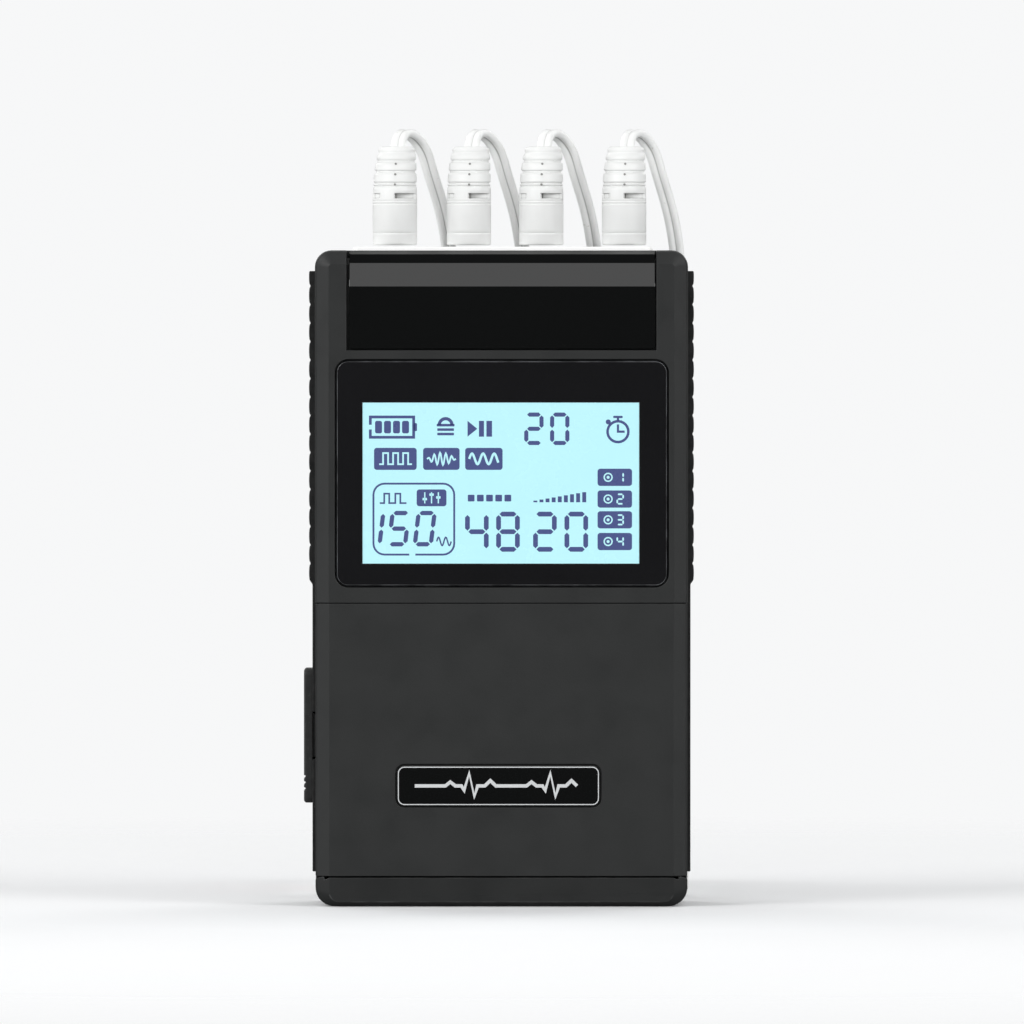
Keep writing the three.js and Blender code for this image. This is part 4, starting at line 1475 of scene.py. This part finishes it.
def play_mark(u, v):
    ink.fill([(u, v), (u + 1.75, v + 1.42), (u, v + 2.84)])
    ink.bar(u + 2.05, u + 2.95, v, v + 2.84)
    ink.bar(u + 3.4, u + 4.4, v, v + 2.84)


def timer_mark(u, v):
    """A stopwatch: u and v are its middle."""
    ink.line(arc(u, v, 1.88, 0, 345, 24), 0.46, closed=True)
    ink.line([(u, v + 1.3), (u, v), (u + 1.2, v)], 0.4)
    ink.bar(u - 0.85, u + 0.85, v + 2.45, v + 2.85, 0.15)
    ink.bar(u - 0.2, u + 0.2, v + 2.0, v + 2.5)
    ink.fill(disc(u - 1.75, v + 1.75, 0.46, 12))


def pill(u0, u1, v0, v1):
    ink.bar(u0, u1, v0, v1, 0.5)


def draw_screen():
    battery_mark(1.4, 22.75)
    lock_mark(13.4, 23.0)
    play_mark(18.9, 22.86)
    timer_mark(45.97, 23.76)
    for column, value in enumerate("20"):
        ink.digit(value, 29.1 + column * 4.65, 21.35, 3.48, 5.85, 0.74)
    # three modes: square pulses, bursts and kneading
    for u0, u1 in ((2.07, 9.74), (10.9, 17.46), (18.47, 25.2)):
        pill(u0, u1, 16.88, 20.84)
    light.line(square_wave((3, 3.7, 4.6, 5.5, 6.4, 7.3, 8.2, 8.9), 17.9, 19.9), 0.3)
    light.line(sine_wave(11.6, 18.86, 0.13, 1.15, 0.78, 41, 0.0785), 0.3)
    light.line(sine_wave(19.2, 18.86, 0.125, 0.95, 0.3927, 43), 0.42)
    # rate: a rounded box, open below, with the rate and its wave
    box_line = rounded(1.96, 16.5, 1.63, 14.4, 2.0, 6)
    ink.line([(9.5, 1.63), *box_line[7:], *box_line[:7], (8.4, 1.63)], 0.34)
    ink.line(square_wave((3.1, 3.9, 4.8, 5.9, 6.8, 7.9), 10.9, 12.6), 0.3)
    pill(9.74, 15.1, 10.33, 13.36)
    for column, knob in enumerate((0.7, 1.5, 1.0)):
        u = 11.2 + column * 1.22
        light.line([(u, 10.85), (u, 12.85)], 0.22)
        light.bar(u - 0.4, u + 0.4, 10.7 + knob, 11.15 + knob, 0.1)
    for value, u, width in zip("150", (1.0, 4.3, 8.98), (2.4, 3.7, 3.65)):
        ink.digit(value, u, 3.1, width, 6.4, 0.78, 0.12)
    ink.line(sine_wave(13.35, 4.0, 0.1, 0.75, 0.483, 27), 0.26)
    # mode and strength
    for column in range(5):
        start = 18.95 + column * 1.65
        ink.bar(start, start + 1.2, 11.2, 12.4, 0.15)
    for column in range(9):
        start = 30.75 + column * 1.1
        ink.bar(start, start + 0.7, 11.05, 11.35 + column * 0.19)
    for value, u in zip("4820", (18.45, 24.05, 30.7, 36.35)):
        ink.digit(value, u, 2.15, 4.25, 7.2, 0.86)
    # channels
    for number, low in zip("1234", (13.99, 10.08, 6.34, 2.43)):
        pill(42.3, 48.5, low, low + 3.1)
        light.line(arc(44.2, low + 1.55, 0.72, 0, 330, 12), 0.24, closed=True)
        light.fill(disc(44.2, low + 1.55, 0.28, 10))
        light.digit(number, 45.7, low + 0.55, 1.35, 2.0, 0.3)
    ink.make("display_ink", INK)
    light.make("display_light", LIT)


draw_screen()

# ---------------------------------------------------------------- keys behind the door


def key_marks(kind, x, z, front):
    """The printed sign on a round key."""
    lines = {  # rows of (points from the key's middle, width of the line, closed)
        "power": [(arc(0, 0, 1.9, 125, 415, 18), 0.45, False), ([(0, 0.4), (0, 2.4)], 0.45, False)],
        "mode": [([(-1.8, v), (1.8, v)], 0.45, False) for v in (-1.2, 0, 1.2)],
        "timer": [(arc(0, 0, 1.9, 0, 345, 22), 0.4, True), ([(0, 1.3), (0, 0), (1, 0)], 0.35, False)],
        "pause": [([(u, -1.4), (u, 1.4)], 0.6, False) for u in (-0.8, 0.8)],
    }
    return [
        ribbon([(x + u, z + v) for u, v in points], width, front - 0.03, front + 0.12, closed)
        for points, width, closed in lines[kind]
    ]


def round_key(kind, material):
    node = f"key_{kind}"
    low, high, x, z = facing(node)
    front, foot = low.y, -9.1  # the dished face, and the flange behind the deck
    profile = [(0, front + 0.35), (1.5, front + 0.3), (3.0, front + 0.16), (3.8, front)]
    profile += [(4.25, front + 0.08), (4.48, front + 0.4), (4.5, foot), (5.4, foot)]
    profile += [(5.4, high.y), (0, high.y)]
    cap = new_object(f"round_key_{kind}", lathe("y", profile, x, z, 56))
    smooth(cap, 40)
    dress(cap, material, node, [node])
    marks = new_object(f"key_sign_{kind}", together(key_marks(kind, x, z, front + 0.24)))
    dress(marks, PRINT if kind == "power" else KEY_PRINT, node)


round_key("power", POWER_KEY)
for kind in ("mode", "timer", "pause"):
    round_key(kind, KEY)


def rocker(channel):
    node = f"rocker_ch{channel}"
    low, high, x, z = facing(node)
    front = low.y
    profile = [(-8.8, 0), (front + 0.5, 0), (front + 0.2, 0.12), (front, 0.5)]
    layers = [
        (place, rounded(x - 5 + i, x + 5 - i, z - 11 + i, z + 11 - i, 5 - i, 12)) for place, i in profile
    ]
    obj = new_object(f"rocker_key_{channel}", loft("y", layers))
    bar = rod("x", 0.5, low.x, high.x, -8.6, z)
    dish = prism("y", rounded(x - 3.2, x + 3.2, z - 1.3, z + 1.3, 1.25), front - 1, front + 0.25)
    join(obj, [bar])
    cut(obj, [dish])
    bevelled(obj, 0.15, KEY, [node], node)
    top, bottom, arm = z + 6.3, z - 6.3, 1.5
    strokes = (
        [(x - arm, top), (x + arm, top)], [(x, top - arm), (x, top + arm)],
        [(x - arm, bottom), (x + arm, bottom)],
    )
    marks = together([ribbon(stroke, 0.5, front - 0.03, front + 0.1) for stroke in strokes])
    dress(new_object(f"rocker_sign_{channel}", marks), KEY_PRINT, node)


for channel in CHANNELS:
    rocker(channel)


def deck_print():
    """Lines round the keys, printed on the deck."""
    low, high = DECK - 0.02, DECK + 0.1
    shapes = []
    for x in KEY_X:
        for outline in (rocker_outline(x, 6.4, 12.4, 6.3, 12), disc(x, KEY_Z, 5.7, 40)):
            shapes.append(ribbon(outline, 0.25, low, high, True))
    dress(new_object("deck_print", together(shapes)), PRINT, "root")


deck_print()

# ---------------------------------------------------------------- CAD nodes that stay

KEPT = {
    "lcd_module": DARK, "keypad_mat": KEY, "main_board": BOARD, "battery_pack": BATTERY,
    "boost_coil": COIL, "buzzer": DARK, "charge_port": PIN,
}
KEPT.update({f"output_jack_{channel}": DARK for channel in CHANNELS})
for node, material in KEPT.items():
    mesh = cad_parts[node].data
    mesh.materials.clear()
    mesh.materials.append(material)

# ---------------------------------------------------------------- floor, light and air

BACKDROP = (0.93, 0.935, 0.94)
AMBIENT = 0.1  # the share of the backdrop that lights the object
FLOOR_RADIUS = 900
FLOOR_FADE = (0.12, 0.45)  # metres from the middle: where it starts to fade, and where it is gone
POLISH = 0.06  # how much of the floor mirrors
BELOW = 0.0001  # metres from the object's lowest point to the floor
LIGHT_DISTANCE = 1.15


def add_floor():
    """A pale floor that melts into the backdrop a little way from the object."""
    edge = disc(0, 0, FLOOR_RADIUS, 96)
    floor = new_object("floor", ([(x, y, 0) for x, y in edge], [tuple(range(len(edge)))]))
    look = Look("floor", (244, 245, 246), 0.8).mottle(0.004, 90).grain(1.2, 0.01)
    look.set(Specular_IOR_Level=0)
    away = look.add("ShaderNodeVectorMath", operation="LENGTH")
    look.link(look.place, away.inputs[0])
    gloss = look.add("ShaderNodeBsdfGlossy")
    gloss.inputs["Roughness"].default_value = 0.12
    polish = look.add("ShaderNodeMixShader")
    polish.inputs["Fac"].default_value = POLISH
    look.link(look.shader.outputs["BSDF"], polish.inputs[1])
    look.link(gloss.outputs["BSDF"], polish.inputs[2])
    fade = look.add("ShaderNodeMixShader")
    look.link(look.ramp(away.outputs["Value"], *FLOOR_FADE, 0, 1), fade.inputs["Fac"])
    look.link(polish.outputs["Shader"], fade.inputs[1])
    look.link(look.add("ShaderNodeBsdfTransparent").outputs["BSDF"], fade.inputs[2])
    look.link(fade.outputs["Shader"], look.tree.nodes["Material Output"].inputs["Surface"])
    floor.data.materials.append(look.done())
    floor.location.z = -BELOW
    floor.visible_glossy = False


def add_light(name, azimuth, elevation, size, radiance, mirrored):
    """A softbox, shown in glossy surfaces if mirrored. Azimuth counts from the front to the right."""
    light = bpy.data.lights.new(name, "AREA")
    light.shape = "RECTANGLE"
    light.size, light.size_y = size
    light.energy = radiance * math.pi * size[0] * size[1]
    holder = bpy.data.objects.new(name, light)
    bpy.context.scene.collection.objects.link(holder)
    turn, rise = math.radians(azimuth), math.radians(elevation)
    way = Vector((math.sin(turn) * math.cos(rise), -math.cos(turn) * math.cos(rise), math.sin(rise)))
    holder.location = TARGET + way * LIGHT_DISTANCE
    holder.rotation_euler = (-way).to_track_quat("-Z", "Y").to_euler()
    holder.visible_glossy = mirrored


def add_world():
    """A pale backdrop that gives little light itself, so that the softboxes shape the casing."""
    world = bpy.data.worlds.new("studio")
    bpy.context.scene.world = world
    world.use_nodes = True
    tree = world.node_tree
    unseen = tree.nodes["Background"]
    unseen.inputs["Color"].default_value = (*BACKDROP, 1)
    unseen.inputs["Strength"].default_value = AMBIENT
    seen = tree.nodes.new("ShaderNodeBackground")
    seen.inputs["Color"].default_value = (*BACKDROP, 1)
    path = tree.nodes.new("ShaderNodeLightPath")
    mix = tree.nodes.new("ShaderNodeMixShader")
    tree.links.new(path.outputs["Is Camera Ray"], mix.inputs["Fac"])
    tree.links.new(unseen.outputs["Background"], mix.inputs[1])
    tree.links.new(seen.outputs["Background"], mix.inputs[2])
    tree.links.new(mix.outputs["Shader"], tree.nodes["World Output"].inputs["Surface"])


add_floor()
add_world()
for row in (  # name, azimuth, elevation, size in metres, radiance, mirrored
    ("brow_softbox", 0, 35, (1.0, 0.34), 1.35, True),
    ("left_key", -50, 26, (0.6, 0.7), 5.4, True),
    ("right_key", 50, 26, (0.6, 0.7), 4.6, True),
    ("left_fill", -88, 10, (0.7, 0.7), 3.4, False),
    ("right_fill", 88, 10, (0.7, 0.7), 1.6, False),
    ("front_fill", 0, 8, (0.6, 0.5), 3.8, False),
    ("back_softbox", 180, 66, (1.0, 0.45), 2.6, True),
    ("rear_left", -142, 28, (0.6, 0.6), 2.2, True),
    ("rear_right", 142, 28, (0.6, 0.6), 2.2, True),
):
    add_light(*row)
bpy.context.scene.view_settings.view_transform = "Standard"
